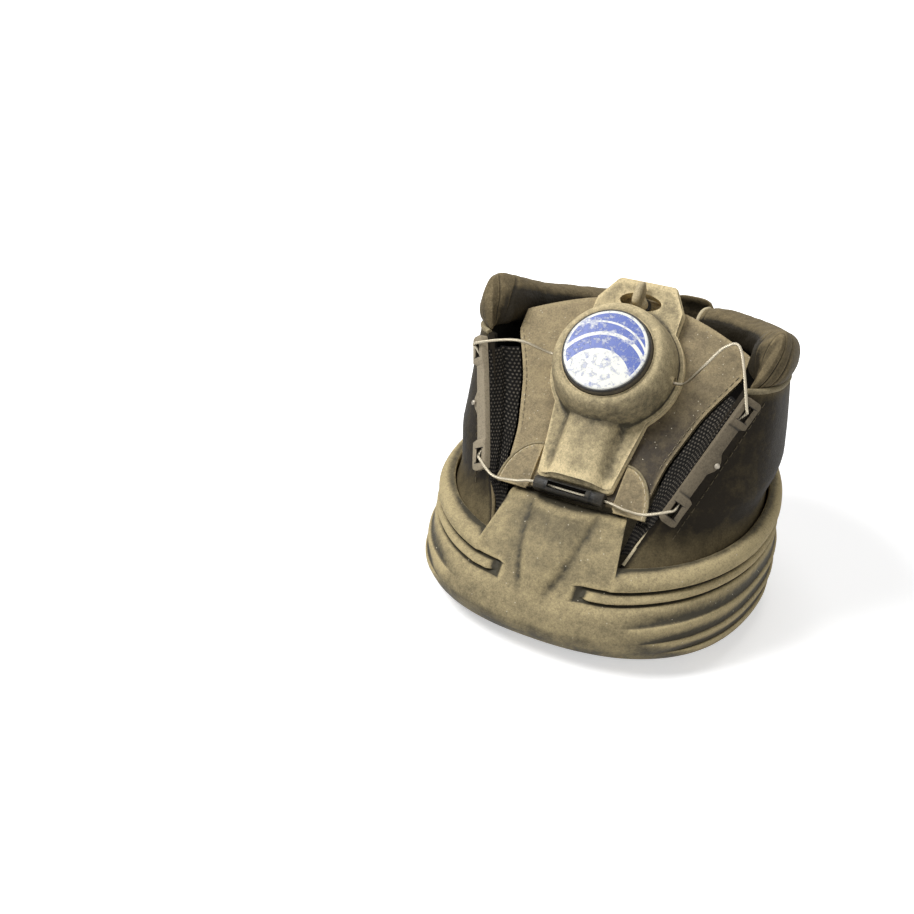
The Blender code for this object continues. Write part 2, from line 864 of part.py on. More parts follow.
def build_side_guide(name, side, material):
    """Long plastic lace guide with a channel beneath and a window at each end."""
    half = guide_width / 2
    low = guide_channel_offset - guide_channel_width / 2
    high = guide_channel_offset + guide_channel_width / 2
    section = [(-half, 0), (low, 0), (low, guide_channel_depth), (high, guide_channel_depth), (high, 0),
               (half, 0), (half, guide_thickness - guide_edge_round),
               (half - guide_edge_round, guide_thickness), (guide_edge_round - half, guide_thickness),
               (-half, guide_thickness - guide_edge_round)]
    rings = []
    for station in range(guide_stations + 1):
        frame = guide_frame(mix(guide_low_height, guide_high_height, station / guide_stations), side)
        rings.append([frame @ Vector((x, 0, z)) for x, z in section])
    guide = place(name, ring_solid(bmesh.new(), rings), material)
    windows = bmesh.new()
    for end, way in ((guide_low_height, 1), (guide_high_height, -1)):
        frame = guide_frame(end, side, guide_channel_offset, guide_thickness)
        middle = way * (guide_window_end + guide_window_length / 2)
        window_frame = frame @ Matrix.Translation((0, middle, 0))
        depth = 2 * (guide_thickness - guide_channel_depth) + cut_overrun
        block(windows, (guide_window_width, guide_window_length, depth), window_frame)
    return cut(guide, place(name + "_window_cutter", windows, material))


def build_guide_stud(name, side, material):
    """Head of the rivet that holds a side guide in its middle."""
    height = (guide_low_height + guide_high_height) / 2
    frame = guide_frame(height, side, stud_offset, guide_thickness + seat_gap)
    profile = [(0, 0), (stud_radius, 0), (stud_radius, stud_height / 2), (stud_radius / 2, stud_height),
               (0, stud_height)]
    return place(name, turned(bmesh.new(), profile, frame, bore_sides), material)


def build_tongue(material):
    """Leather tongue with a sloping top edge."""
    outer, inner = tongue_grids((0, tongue_thickness), tongue_foot, 0, tongue_counts)
    return place("tongue", sheet_solid(bmesh.new(), outer, inner), material)


def build_tongue_padding(material):
    """Soft pad behind the tongue."""
    front = tongue_thickness + seat_gap
    depths = (front, front + tongue_padding_thickness)
    outer, inner = tongue_grids(depths, padding_foot, padding_margin, padding_counts)
    return place("tongue_padding", sheet_solid(bmesh.new(), outer, inner), material)


def tongue_grids(depths, foot, margin, counts):
    """Front and back grids of a sheet on the tongue."""
    across_count, up_count = counts
    grids = ([], [])
    for row in range(across_count + 1):
        across = mix(-1, 1, row / across_count)
        top = tongue_top - margin - tongue_corner_drop * abs(across) ** tongue_corner_power
        lines = ([], [])
        for column in range(up_count + 1):
            station = mix(foot, top, column / up_count)
            x = across * (tongue_half_width(station) - margin)
            for line, depth in zip(lines, depths):
                line.append(on_tongue(x, station, -depth))
        grids[0].append(lines[0])
        grids[1].append(lines[1])
    return grids


def build_patch(name, side, material):
    """Half-moon patch stitched on the tongue beside the foot of the reel cover."""
    outer = []
    inner = []
    for row in range(patch_rows + 1):
        turn = math.radians(90) * row / patch_rows
        lines = ([], [])
        for column in range(patch_columns + 1):
            reach = mix(patch_hollow_share, 1, column / patch_columns)
            x = patch_inner_x + patch_width * math.cos(turn) * reach
            station = patch_foot + patch_height * math.sin(turn) * reach
            for line, height in zip(lines, (seat_gap + patch_thickness, seat_gap)):
                line.append(on_tongue(side * x, station, height))
        outer.append(lines[0])
        inner.append(lines[1])
    return place(name, sheet_solid(bmesh.new(), outer, inner), material)


def gusset_edges(height):
    """Back of the right-hand gusset at its inner and its outer edge, at one height."""
    fold = edge_angle(height)
    out = quarter_out(fold, height) - gusset_edge_depth
    reach = (form_point(fold, height, out) - form_point(fold - angle_step, height, out)).length
    outer = form_point(fold - gusset_gap / reach, height, out)
    base = tongue_frame() @ Vector((0, 0, 0))
    if height <= base.z:
        share = (height - gusset_foot_height) / (base.z - gusset_foot_height)
        x = mix(slot_foot_x, slot_top_x, share)
        angle = -math.degrees(math.acos((x / form_extents(height, 0)[0]) ** (toe_fullness / 2)))
        inner = form_point(angle, height)
        inner.y += mix(gusset_foot_depth, gusset_top_depth, share) + gusset_thickness
        inner.x = x + gusset_gap
    else:
        station = (height - base.z) / math.sin(math.radians(tongue_pitch))
        x = tongue_half_width(station) + gusset_gap + gusset_thickness
        inner = on_tongue(x, station, -gusset_set_back - gusset_thickness)
    return inner, outer


def build_gusset(name, side, material):
    """Folded mesh band between the tongue's edge and a quarter's front edge."""
    grids = ([], [])
    for row in range(gusset_rows + 1):
        across = row / gusset_rows
        lines = ([], [])
        for level in range(gusset_levels + 1):
            height = mix(gusset_foot_height, gusset_top_height, level / gusset_levels)
            near, far = gusset_edges(height)
            span = far - near
            inward = Vector((-span.y, span.x, 0))
            sag = mix(gusset_sag_share, gusset_top_sag_share,
                      ramp(height, gusset_fold_start, gusset_top_height))
            back = near.lerp(far, across) + inward * sag * math.sin(math.pi * across)
            lines[0].append(sided(back - inward.normalized() * gusset_thickness, side))
            lines[1].append(sided(back, side))
        for grid, line in zip(grids, lines):
            grid.append(line)
    return place(name, sheet_solid(bmesh.new(), *grids), material)


def build_lower_guide(material):
    """Tube that carries the lace across the foot of the tongue, with a window on its front."""
    middle = tube_foot + tube_height / 2
    frame = tongue_frame(middle, seat_gap + tube_thickness / 2)
    size = (2 * tube_half_length, tube_height, tube_thickness)
    tube = place("lower_guide", rounded_block(bmesh.new(), size, frame, tube_round), material)
    length = tube_half_length + cut_overrun
    across = frame @ Matrix.Rotation(math.radians(90), 4, "Y")
    bore = [(0, -length), (tube_bore_radius, -length), (tube_bore_radius, length), (0, length)]
    cut(tube, place("lower_guide_bore_cutter", turned(bmesh.new(), bore, across, bore_sides), material))
    window = frame @ Matrix.Translation((tube_window_offset, 0, tube_thickness / 2))
    window_size = (2 * tube_window_half_length, tube_window_height, tube_thickness)
    return cut(tube, place("lower_guide_window_cutter", block(bmesh.new(), window_size, window), material))


def upper_share(turn):
    """Share of the dome's drawn-in upper side, at the tab, in its form at one turn round the reel."""
    away = math.degrees(math.acos(max(min(-math.cos(turn), 1), -1)))
    return ramp(away, dome_upper_reach, 0)


def dome_edge(turn):
    """Radius of the dome's foot."""
    return mix(dome_radius, dome_upper_radius, upper_share(turn))


def cover_edge(turn):
    """Distance from the reel's axis to the cover's outline; turn is 0 down the slope."""
    across = abs(math.sin(turn))
    down = math.cos(turn)
    edge = dome_edge(turn)
    if down > 0:
        reach = reel_station - neck_foot
        spread = (neck_flange_top - neck_flange_foot) / reach
        edge = max(edge, min(reach / down, neck_flange_top / (across + spread * down)))
    else:
        reach = tab_end - reel_station
        slanted = tab_half_width_end + tab_slant * reach
        edge = max(edge, min(reach / max(-down, tiny), slanted / (across - tab_slant * down),
                             tab_half_width_root / max(across, tiny)))
    return edge


def cover_height(x, station):
    """Height of the cover's outer face above the tongue's flat frame."""
    radius = math.hypot(x, station - reel_station)
    turn = math.atan2(x, reel_station - station)
    rim = dome_edge(turn)
    share = (radius - cover_hole_radius) / (rim - cover_hole_radius)
    heights = [mix(*pair, upper_share(turn)) for pair in zip(dome_heights, dome_upper_heights)]
    dome = smooth_value(dome_radius_shares, heights, share) if share < 1 + tiny else 0
    neck = 0
    if station < reel_station:
        rise = mix(neck_rise_foot, neck_rise_top, (station - neck_foot) / (reel_station - neck_foot))
        neck = cover_flange + rise * max(1 - abs(x / neck_half_width) ** neck_power, 0)
    tab = cover_flange + tab_rise * ramp(station, reel_station, slot_station - slot_half_width)
    flat = cover_flange if station < reel_station else tab
    return sum(max(value, 0) ** cover_blend_power for value in (dome, neck, flat)) ** (1 / cover_blend_power)


def build_reel_cover(material):
    """Rubber cover in one moulding: dome round the dial, neck with side flanges, and a tab with a slot."""
    columns = []
    for index in range(cover_columns):
        turn = 2 * math.pi * index / cover_columns
        edge = cover_edge(turn)
        across = math.sin(turn)
        down = math.cos(turn)
        rim = dome_edge(turn)
        column = [polar_on_reel(cover_hole_radius, turn, cover_cavity_top)]
        radii = [mix(cover_hole_radius, rim, share) for share in dome_radius_shares]
        radii += [mix(rim, max(edge, rim + cover_margin), share) for share in cover_skirt_shares]
        for radius in radii:
            x = radius * across
            station = reel_station - radius * down
            height = cover_height(x, station)
            drop = tongue_drop(x, station) * ramp(radius, rim, rim + cover_settle)
            column.append(polar_on_reel(radius, turn, height - drop))
        edge = radii[-1]
        column.append(on_tongue(edge * across, reel_station - edge * down, seat_gap))
        low_x = cover_cavity_radius * across
        column.append(on_tongue(low_x, reel_station - cover_cavity_radius * down, seat_gap))
        column.append(polar_on_reel(cover_cavity_radius, turn, cover_cavity_top))
        columns.append(column)
    rings = [[column[row] for column in columns] for row in range(len(columns[0]))]
    cover = place("reel_cover", ring_solid(bmesh.new(), rings, closed=True), material)
    cut(cover, place("cover_slot_cutter", slot_cut(), material))
    return cut(cover, place("cover_port_cutter", port_cut(cover_cavity_radius, dome_radius), material))


def polar_on_reel(radius, turn, height):
    """Point round the reel's axis; turn is 0 down the slope."""
    spot = Vector((radius * math.sin(turn), -radius * math.cos(turn), height))
    return tongue_frame(reel_station) @ spot


def slot_cut():
    """Oval cutter for the tab's slot."""
    rings = []
    for height in (-cut_overrun, 2 * cover_flange + tab_rise):
        ring = []
        for index in range(slot_sides):
            turn = 2 * math.pi * index / slot_sides
            spot = Vector((slot_half_length * math.cos(turn), slot_half_width * math.sin(turn), height))
            ring.append(tongue_frame(slot_station) @ spot)
        rings.append(ring)
    return ring_solid(bmesh.new(), rings)


def port_cut(inner, outer):
    """Cutters for the two holes that the lace leaves the reel by."""
    shape = bmesh.new()
    frame = tongue_frame(reel_station, lace_port_height)
    for way in (-1, 1):
        across = frame @ Matrix.Rotation(math.radians(90) * way, 4, "Y")
        start = inner - cut_overrun
        end = outer + cut_overrun
        profile = [(0, start), (lace_port_radius, start), (lace_port_radius, end), (0, end)]
        turned(shape, profile, across, port_sides)
    return shape


def build_reel_base(material):
    """Base plate of the reel with its centre post."""
    plate = seat_gap + reel_base_thickness
    profile = [(0, seat_gap), (reel_base_radius, seat_gap), (reel_base_radius, plate), (post_radius, plate),
               (post_radius, post_top), (0, post_top)]
    return place("reel_base", turned(bmesh.new(), profile, tongue_frame(reel_station)), material)


def build_reel_housing(material):
    """Housing wall with the ledge that carries the ring gear, and a lace port on each side."""
    foot = seat_gap + reel_base_thickness + seat_gap
    ledge = gear_foot - seat_gap
    profile = [(housing_ledge_radius, foot), (housing_radius, foot), (housing_radius, housing_top),
               (housing_inner_radius, housing_top), (housing_inner_radius, ledge), (housing_ledge_radius, ledge)]
    housing = place("reel_housing", turned(bmesh.new(), profile, tongue_frame(reel_station)), material)
    cutter = place("housing_port_cutter", port_cut(housing_ledge_radius, housing_radius), material)
    return cut(housing, cutter)


def tooth_half_angle(teeth, radius, inside):
    """Half the angle that a tooth fills at one radius, by the involute."""
    pitch = gear_module * teeth / 2
    base = pitch * math.cos(math.radians(pressure_angle))

    def involute(at):
        angle = math.acos(min(base / at, 1))
        return math.tan(angle) - angle

    half_at_pitch = math.pi / (2 * teeth) - tooth_backlash / (2 * pitch)
    change = involute(pitch) - involute(max(radius, base))
    return half_at_pitch - change if inside else half_at_pitch + change


def gear_outline(teeth, inside=False, start=0):
    """Outline of a gear, or of a ring gear's inner teeth, with one tooth at the start angle."""
    pitch = gear_module * teeth / 2
    add = gear_module * addendum_share
    deep = gear_module * dedendum_share
    root, tip = (pitch + deep, pitch - add) if inside else (pitch - deep, pitch + add)
    points = []
    for tooth in range(teeth):
        centre = start + 2 * math.pi * tooth / teeth
        rising = []
        for index in range(flank_steps + 1):
            radius = mix(root, tip, index / flank_steps)
            rising.append((radius, tooth_half_angle(teeth, radius, inside)))
        for radius, half in rising:
            points.append((radius, centre - half))
        for radius, half in reversed(rising):
            points.append((radius, centre + half))
    return [(radius * math.cos(angle), radius * math.sin(angle)) for radius, angle in points]


def gear_solid(outline, round_radius, heights, frame):
    """Extrude a gear outline between two heights, with a round wall that has two points for each tooth."""
    shape = bmesh.new()
    count = len(outline)
    flank = flank_steps + 1
    toothed = []
    rounded = []
    for height in heights:
        toothed.append([shape.verts.new(frame @ Vector((x, y, height))) for x, y in outline])
        ring = []
        for index in range(0, count, flank):
            x, y = outline[index]
            if index % (2 * flank):
                x, y = outline[(index + flank - 1) % count]
            stretch = round_radius / math.hypot(x, y)
            ring.append(shape.verts.new(frame @ Vector((x * stretch, y * stretch, height))))
        rounded.append(ring)
    for index in range(count):
        follow = (index + 1) % count
        shape.faces.new((toothed[0][index], toothed[0][follow], toothed[1][follow], toothed[1][index]))
    for half in range(count // flank):
        follow = (half + 1) % (count // flank)
        shape.faces.new((rounded[0][half], rounded[0][follow], rounded[1][follow], rounded[1][half]))
        start = half * flank
        stop = start + 2 * flank - 1 if half % 2 == 0 else start + flank
        start = start if half % 2 == 0 else start + flank - 1
        for level in (0, 1):
            edge = [toothed[level][index % count] for index in range(start, stop + 1)]
            shape.faces.new(edge + [rounded[level][follow], rounded[level][half]])
    return shape


def build_ring_gear(material):
    """Fixed ring gear inside the housing."""
    outline = gear_outline(ring_teeth, inside=True, start=math.pi / ring_teeth)
    heights = (gear_foot, gear_foot + gear_face_width)
    shape = gear_solid(outline, ring_outer_radius, heights, tongue_frame(reel_station))
    return place("ring_gear", shape, material)


def build_sun_gear(material):
    """Sun gear under the dial."""
    shape = gear_solid(gear_outline(sun_teeth), dial_bore_radius, (gear_foot, sun_top),
                       tongue_frame(reel_station))
    return place("sun_gear", shape, material)


def planet_place(index):
    """Angle of a planet on the carrier."""
    return 2 * math.pi * index / planet_count


def build_planet(index, material):
    """Planet gear in mesh with the sun and the ring."""
    orbit = gear_module * (sun_teeth + planet_teeth) / 2
    turn = planet_place(index)
    frame = tongue_frame(reel_station) @ Matrix.Rotation(turn, 4, "Z") @ Matrix.Translation((orbit, 0, 0))
    outline = gear_outline(planet_teeth, start=math.pi + math.pi / planet_teeth)
    heights = (gear_foot, gear_foot + gear_face_width)
    shape = gear_solid(outline, planet_bore_radius, heights, frame)
    item = place("planet_gear_%d" % (index + 1), shape, material)
    return set_origin(item, frame @ Vector((0, 0, gear_foot)))


def build_spool(material):
    """Spool that winds the lace; its top flange carries the planets on three pins."""
    low = spool_foot + spool_flange_thickness
    high = spool_top - spool_flange_thickness
    profile = [(spool_bore_radius, spool_foot), (spool_flange_radius, spool_foot), (spool_flange_radius, low),
               (spool_drum_radius, low), (spool_drum_radius, high), (spool_flange_radius, high),
               (spool_flange_radius, spool_top), (spool_bore_radius, spool_top)]
    frame = tongue_frame(reel_station)
    spool = place("spool", turned(bmesh.new(), profile, frame), material)
    pins = bmesh.new()
    orbit = gear_module * (sun_teeth + planet_teeth) / 2
    for index in range(planet_count):
        spot = frame @ Matrix.Rotation(planet_place(index), 4, "Z") @ Matrix.Translation((orbit, 0, 0))
        foot = spool_top - spool_flange_thickness / 2
        pin = [(0, foot), (carrier_pin_radius, foot), (carrier_pin_radius, carrier_pin_top), (0, carrier_pin_top)]
        turned(pins, pin, spot, pin_sides)
    cut(spool, place("spool_pins", pins, material), "UNION")
    return set_origin(spool, frame @ Vector((0, 0, spool_foot)))


def build_pull_bush(material):
    """Bush that slides on the post and carries the dial out and in."""
    top = bush_shoulder + bush_flange_thickness
    profile = [(bush_inner_radius, gear_foot), (bush_outer_radius, gear_foot), (bush_outer_radius, bush_shoulder),
               (bush_flange_radius, bush_shoulder), (bush_flange_radius, top), (bush_inner_radius, top)]
    frame = tongue_frame(reel_station)
    item = place("pull_bush", turned(bmesh.new(), profile, frame, small_sides), material)
    return set_origin(item, frame @ Vector((0, 0, gear_foot)))


def build_centre_screw(material):
    """Screw in the post that stops the dial when it is pulled out."""
    foot = post_top + seat_gap
    top = foot + screw_head_height
    profile = [(0, foot), (screw_head_radius, foot), (screw_head_radius, top), (0, top)]
    return place("centre_screw", turned(bmesh.new(), profile, tongue_frame(reel_station), small_sides), material)


def build_dial(material):
    """Hollow dial with a web below, a round seat for its face above and a chamfered rim."""
    seat = dial_face_radius + dial_face_clearance
    profile = [(0, dial_face_seat), (seat, dial_face_seat), (seat, dial_top), (dial_radius - dial_chamfer, dial_top),
               (dial_radius, dial_top - dial_chamfer), (dial_radius, dial_foot), (dial_bore_radius, dial_foot),
               (dial_bore_radius, dial_web_top), (dial_cavity_radius, dial_web_top),
               (dial_cavity_radius, dial_cavity_top), (0, dial_cavity_top)]
    frame = tongue_frame(reel_station)
    item = place("dial", turned(bmesh.new(), profile, frame, dial_sides), material)
    return set_origin(item, frame @ Vector((0, 0, dial_foot)))


def build_dial_face(material):
    """Slightly crowned face disc in the dial."""
    foot = dial_face_seat + dial_face_clearance
    top = foot + dial_face_thickness
    profile = [(0, foot), (dial_face_radius, foot), (dial_face_radius, top),
               (dial_face_radius / 2, top + dial_face_crown), (0, top + dial_face_crown)]
    return place("dial_face", turned(bmesh.new(), profile, tongue_frame(reel_station), dial_sides), material)


def build_button_base(material):
    """Washer on the tongue under the turn button."""
    top = seat_gap + button_washer_thickness
    profile = [(0, seat_gap), (button_washer_radius, seat_gap), (button_washer_radius, top), (0, top)]
    return place("button_base", turned(bmesh.new(), profile, tongue_frame(slot_station), small_sides), material)


def build_turn_button(material):
    """Turn button: a stem through the slot and a leaf-shaped wing that locks the tab."""
    frame = tongue_frame(slot_station)
    stem_top = wing_foot + wing_height / 4
    stem = [(0, button_stem_foot), (button_stem_radius, button_stem_foot), (button_stem_radius, stem_top),
            (0, stem_top)]
    item = place("turn_button", turned(bmesh.new(), stem, frame, slot_sides), material)
    wing = bmesh.new()
    middle = (0, (wing_high_reach - wing_low_reach) / 2, wing_foot + wing_height / 2)
    size = (wing_thickness, wing_high_reach + wing_low_reach, wing_height)
    block(wing, size, frame @ Matrix.Translation(middle))
    top = [vert for vert in wing.verts if (frame.inverted() @ vert.co).z > wing_foot + wing_height / 2]
    bmesh.ops.scale(wing, vec=(1, wing_top_share, 1), space=frame.inverted(), verts=top)
    bmesh.ops.bevel(wing, geom=list(wing.edges), offset=wing_round, segments=2, affect="EDGES", profile=0.5)
    cut(item, place("button_wing", wing, material), "UNION")
    return set_origin(item, frame @ Vector((0, 0, 0)))


def build_lace(material):
    """Steel lace along its whole route, as a round cord with closed ends."""
    route = [Vector(point) for point in lace_route]
    ends = [2 * route[0] - route[1]] + route + [2 * route[-1] - route[-2]]
    points = []
    for index in range(1, len(ends) - 2):
        for part in range(lace_points_per_span):
            points.append(smooth_step(ends[index - 1:index + 3], part / lace_points_per_span))
    points.append(route[-1])
    curve = bpy.data.curves.new("lace", "CURVE")
    curve.dimensions = "3D"
    curve.bevel_depth = lace_diameter / 2
    curve.bevel_resolution = 1
    curve.use_fill_caps = True
    spline = curve.splines.new("POLY")
    spline.points.add(len(points) - 1)
    for point, spot in zip(spline.points, points):
        point.co = (*spot, 1)
    curve.materials.append(material)
    item = bpy.data.objects.new("lace", curve)
    bpy.context.scene.collection.objects.link(item)
    return item


def smooth_step(four, share):
    """Point on a smooth curve between the second and third of four points."""
    a, b, c, d = four
    square = share * share
    cube = square * share
    return (b * 2 + (c - a) * share + (a * 2 - b * 5 + c * 4 - d) * square
            + (b * 3 - a - c * 3 + d) * cube) / 2


def build():
    """Build every sub-part."""
    clear_scene()
    rubber = (0.16, 0.145, 0.11)
    leather = (0.06, 0.055, 0.045)
    build_outer_shell(finish("shell_rubber", rubber, 0.75))
    build_insole(finish("insole_board", (0.12, 0.11, 0.09), 0.9))
    for word, side in SIDES:
        build_quarter("quarter_" + word, side, finish("quarter_leather_" + word, leather, 0.55))
        build_lining("lining_" + word, side, finish("lining_fabric_" + word, (0.05, 0.05, 0.05), 0.95))
        build_collar("collar_" + word, side, finish("collar_leather_" + word, (0.13, 0.11, 0.08), 0.6))
        build_side_guide("lace_guide_" + word, side, finish("guide_plastic_" + word, (0.1, 0.09, 0.07), 0.5))
        build_guide_stud("guide_stud_" + word, side, finish("stud_steel_" + word, (0.3, 0.28, 0.25), 0.4, 1.0))
        build_gusset("gusset_" + word, side, finish("gusset_mesh_" + word, (0.02, 0.02, 0.02), 0.9))
        build_patch("tongue_patch_" + word, side, finish("patch_leather_" + word, (0.17, 0.145, 0.1), 0.65))
    build_heel_strip(finish("heel_leather", leather, 0.6))
    build_tongue(finish("tongue_leather", (0.14, 0.12, 0.09), 0.65))
    build_tongue_padding(finish("tongue_foam", (0.04, 0.04, 0.04), 0.95))
    build_lower_guide(finish("tube_plastic", (0.03, 0.03, 0.03), 0.35))
    build_reel_cover(finish("cover_rubber", (0.2, 0.18, 0.13), 0.75))
    build_reel_base(finish("base_plastic", (0.05, 0.05, 0.05), 0.45))
    build_reel_housing(finish("housing_plastic", (0.05, 0.05, 0.05), 0.45))
    build_ring_gear(finish("ring_gear_plastic", (0.6, 0.58, 0.5), 0.4))
    build_sun_gear(finish("sun_gear_plastic", (0.6, 0.58, 0.5), 0.4))
    for index in range(planet_count):
        build_planet(index, finish("planet_gear_plastic_%d" % (index + 1), (0.6, 0.58, 0.5), 0.4))
    build_spool(finish("spool_plastic", (0.55, 0.53, 0.48), 0.4))
    build_pull_bush(finish("bush_brass", (0.7, 0.55, 0.3), 0.35, 1.0))
    build_centre_screw(finish("screw_steel", (0.6, 0.6, 0.6), 0.35, 1.0))
    build_dial(finish("dial_plastic", (0.04, 0.04, 0.045), 0.4))
    build_dial_face(finish("dial_face_print", (0.2, 0.3, 0.65), 0.35))
    build_button_base(finish("washer_plastic", (0.05, 0.05, 0.05), 0.5))
    build_turn_button(finish("button_plastic", (0.12, 0.1, 0.08), 0.5))
    build_lace(finish("lace_steel", (0.7, 0.68, 0.62), 0.3, 1.0))


build()
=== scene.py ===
"""Looks of the hoof boot: rubber shell, leather uppers, mesh gussets and the lace reel on its tongue.

The form functions repeat those of the CAD source, so that every piece lies on its solid. Metres, toe towards -Y.
"""

import json
import math

import bmesh
import bpy
from mathutils import Matrix, Vector, noise

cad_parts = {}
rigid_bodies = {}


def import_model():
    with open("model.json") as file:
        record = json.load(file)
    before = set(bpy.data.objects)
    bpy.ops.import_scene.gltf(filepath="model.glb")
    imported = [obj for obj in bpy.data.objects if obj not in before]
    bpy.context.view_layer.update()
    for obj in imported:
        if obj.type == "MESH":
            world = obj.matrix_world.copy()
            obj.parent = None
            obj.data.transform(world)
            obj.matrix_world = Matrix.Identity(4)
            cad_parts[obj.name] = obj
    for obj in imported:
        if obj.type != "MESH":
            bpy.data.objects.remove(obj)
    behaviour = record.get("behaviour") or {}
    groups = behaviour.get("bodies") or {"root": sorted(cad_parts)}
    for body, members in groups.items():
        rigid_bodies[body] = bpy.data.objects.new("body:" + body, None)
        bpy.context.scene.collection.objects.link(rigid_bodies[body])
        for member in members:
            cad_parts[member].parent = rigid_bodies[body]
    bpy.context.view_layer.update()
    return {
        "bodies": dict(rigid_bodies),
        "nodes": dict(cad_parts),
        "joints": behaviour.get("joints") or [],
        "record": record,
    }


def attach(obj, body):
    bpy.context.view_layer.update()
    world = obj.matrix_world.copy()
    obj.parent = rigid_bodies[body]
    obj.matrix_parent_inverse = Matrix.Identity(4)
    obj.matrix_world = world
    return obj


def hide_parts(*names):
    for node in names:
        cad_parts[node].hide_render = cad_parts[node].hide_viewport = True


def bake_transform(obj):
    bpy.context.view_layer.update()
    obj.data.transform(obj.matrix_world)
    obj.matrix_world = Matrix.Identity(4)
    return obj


# View of the photograph
view_turn = -28.22
view_tilt = 24.82
view_roll = 3.27
view_distance = 0.65622
view_shift_x = 0.07003
view_shift_y = -0.11260
lens_mm = 47.31

# Overall form: the outline at each height is a superellipse, and the shares run from the ground up
boot_half_width = 0.0735
toe_reach = 0.081
heel_reach = 0.087
form_height = 0.1386
toe_fullness = 2.4
heel_fullness = 1.95
form_height_shares = (0, 0.05, 0.11, 0.17, 0.22, 0.28, 0.35, 0.45, 0.55, 0.64, 0.73, 0.82, 0.91, 1.0, 1.25)
half_width_shares = (0.93, 0.975, 1, 1, 1, 0.995, 0.98, 0.95, 0.93, 0.915, 0.9, 0.885, 0.88, 0.875, 0.87)
toe_reach_shares = (0.82, 0.94, 1, 0.965, 0.895, 0.81, 0.7, 0.585, 0.5, 0.43, 0.365, 0.3, 0.245, 0.2, 0.14)
heel_reach_shares = (0.95, 0.985, 1, 1, 1, 0.995, 0.99, 0.98, 0.975, 0.97, 0.965, 0.96, 0.955, 0.955, 0.95)
toe_angle = -90
heel_angle = 90
angle_step = 1
form_shift = -0.0040

# Clearances
seat_gap = 0.0003
tuck_gap = 0.0007
cut_overrun = 0.002

# Outer shell
shell_wall = 0.0046
shell_toe_wall = 0.0062
toe_wall_end_angle = -45
shell_floor_height = 0.009
bead_inner_share = 0.8
inner_row_shares = (1.0, 0.75, 0.5, 0.25, 0.0)
ground_edge_round = 0.0015
lip_front_height = 0.039
lip_heel_height = 0.068
lip_sweep = 1.1
lip_rise = 0.0014
slot_angle = -70.0
shield_edge_angle = -71.3
shield_top_height = 0.0543
shield_recess = 0.004
shield_recess_start = 0.041
boss_foot_height = 0.0215
boss_fade_height = 0.014
boss_half_width = 0.0155
boss_rise = 0.004
boss_spread_power = 0.6
boss_crown_power = 0.8
slit_start_angle = -81.5
slit_fade_angle = 3
slit_depth = 0.0018
slit_groove_shares = ((0.70, 0.735), (0.805, 0.84))
slit_flank_share = 0.010
rib_shares = (0.22, 0.37, 0.53)
rib_start_angles = (-50, -58, -66)
rib_fade_angle = 16
rib_ledge_share = 0.018
rib_rise = 0.0009
wall_foot_share = 0.05
bead_shares = (0.87, 0.91, 0.95, 0.985, 1.0)
bead_out_shares = (0.55, 1.0, 1.0, 0.45, -0.7)

# Tread under the sole
tread_depth = 0.003
tread_band_width = 0.017
tread_bar_width = 0.008
tread_pocket_rows = 4
tread_front_share = 0.62
tread_back_share = 0.66
tread_groove_width = 0.003
tread_groove_inner = 0.013
tread_groove_outer = 0.010
tread_outline_shares = (0, 0.33, 0.67, 1)
tread_groove_angles = (-62, -40, -20, 0, 20, 40, 60, 78)

# Leather quarters, their linings and the heel strip
quarter_thickness = 0.0022
quarter_inset = 0.0015
quarter_foot_height = 0.018
quarter_swell_height = 0.020
quarter_bulge = 0.0015
bulge_start_angle = -45
bulge_full_angle = 15
edge_foot_x = 0.0292
edge_foot_height = 0.0378
edge_top_x = 0.0561
edge_top_height = 0.1042
edge_top_share = 0.95
edge_solve_steps = 3
heel_join_angle = 89.7
seam_front_height = 0.107
seam_heel_height = 0.091
seam_start_angle = -12
lining_thickness = 0.0018
lining_front_angle = 6
lining_gap = 0.0010
heel_strip_half_width = 0.0100
heel_strip_thickness = 0.0016
heel_strip_clearance = 0.0035
heel_strip_top_height = 0.110
heel_strip_out = 0.0028
heel_strip_gap = 0.0009

# Padded collars
collar_half_depth = 0.0085
collar_half_height = 0.0095
collar_inset = 0.0041
collar_fullness = 2.5
collar_foot_angle = -29.5
collar_front_angle = -2
collar_back_angle = 83
collar_end_share = 0.05
collar_end_scale_share = 0.62
collar_length_shares = (0, 0.08, 0.18, 0.35, 0.6, 0.85, 1.0)
collar_height_shares = (1.12, 1.15, 1.02, 0.84, 0.82, 0.9, 0.86)
collar_depth_shares = (0.22, 0.55, 1, 1, 1, 1, 0.9)

# Side lace guides
guide_low_height = 0.0565
guide_high_height = 0.1040
guide_width = 0.007
guide_seat = 0.0007
guide_thickness = 0.0034
guide_edge_inset = 0.0012
guide_channel_width = 0.0026
guide_channel_depth = 0.0023
guide_channel_offset = -0.001
guide_window_length = 0.0065
guide_window_width = 0.0032
guide_window_end = 0.0030

# Tongue: its own flat frame leans back from the top of the shield
tongue_pitch = 48
hinge_inset = 0.0025
tongue_thickness = 0.002
tongue_padding_thickness = 0.004
tongue_foot = 0.0030
tongue_top = 0.0950
tongue_corner_drop = 0.0145
tongue_corner_power = 1.8
tongue_half_width_limit = 0.0505
tongue_bow = 0.0015
tongue_bow_length = 0.060
padding_margin = 0.004
padding_foot = 0.0048
patch_inner_x = 0.0188
patch_foot = 0.0010
patch_width = 0.0142
patch_height = 0.0205
patch_thickness = 0.001

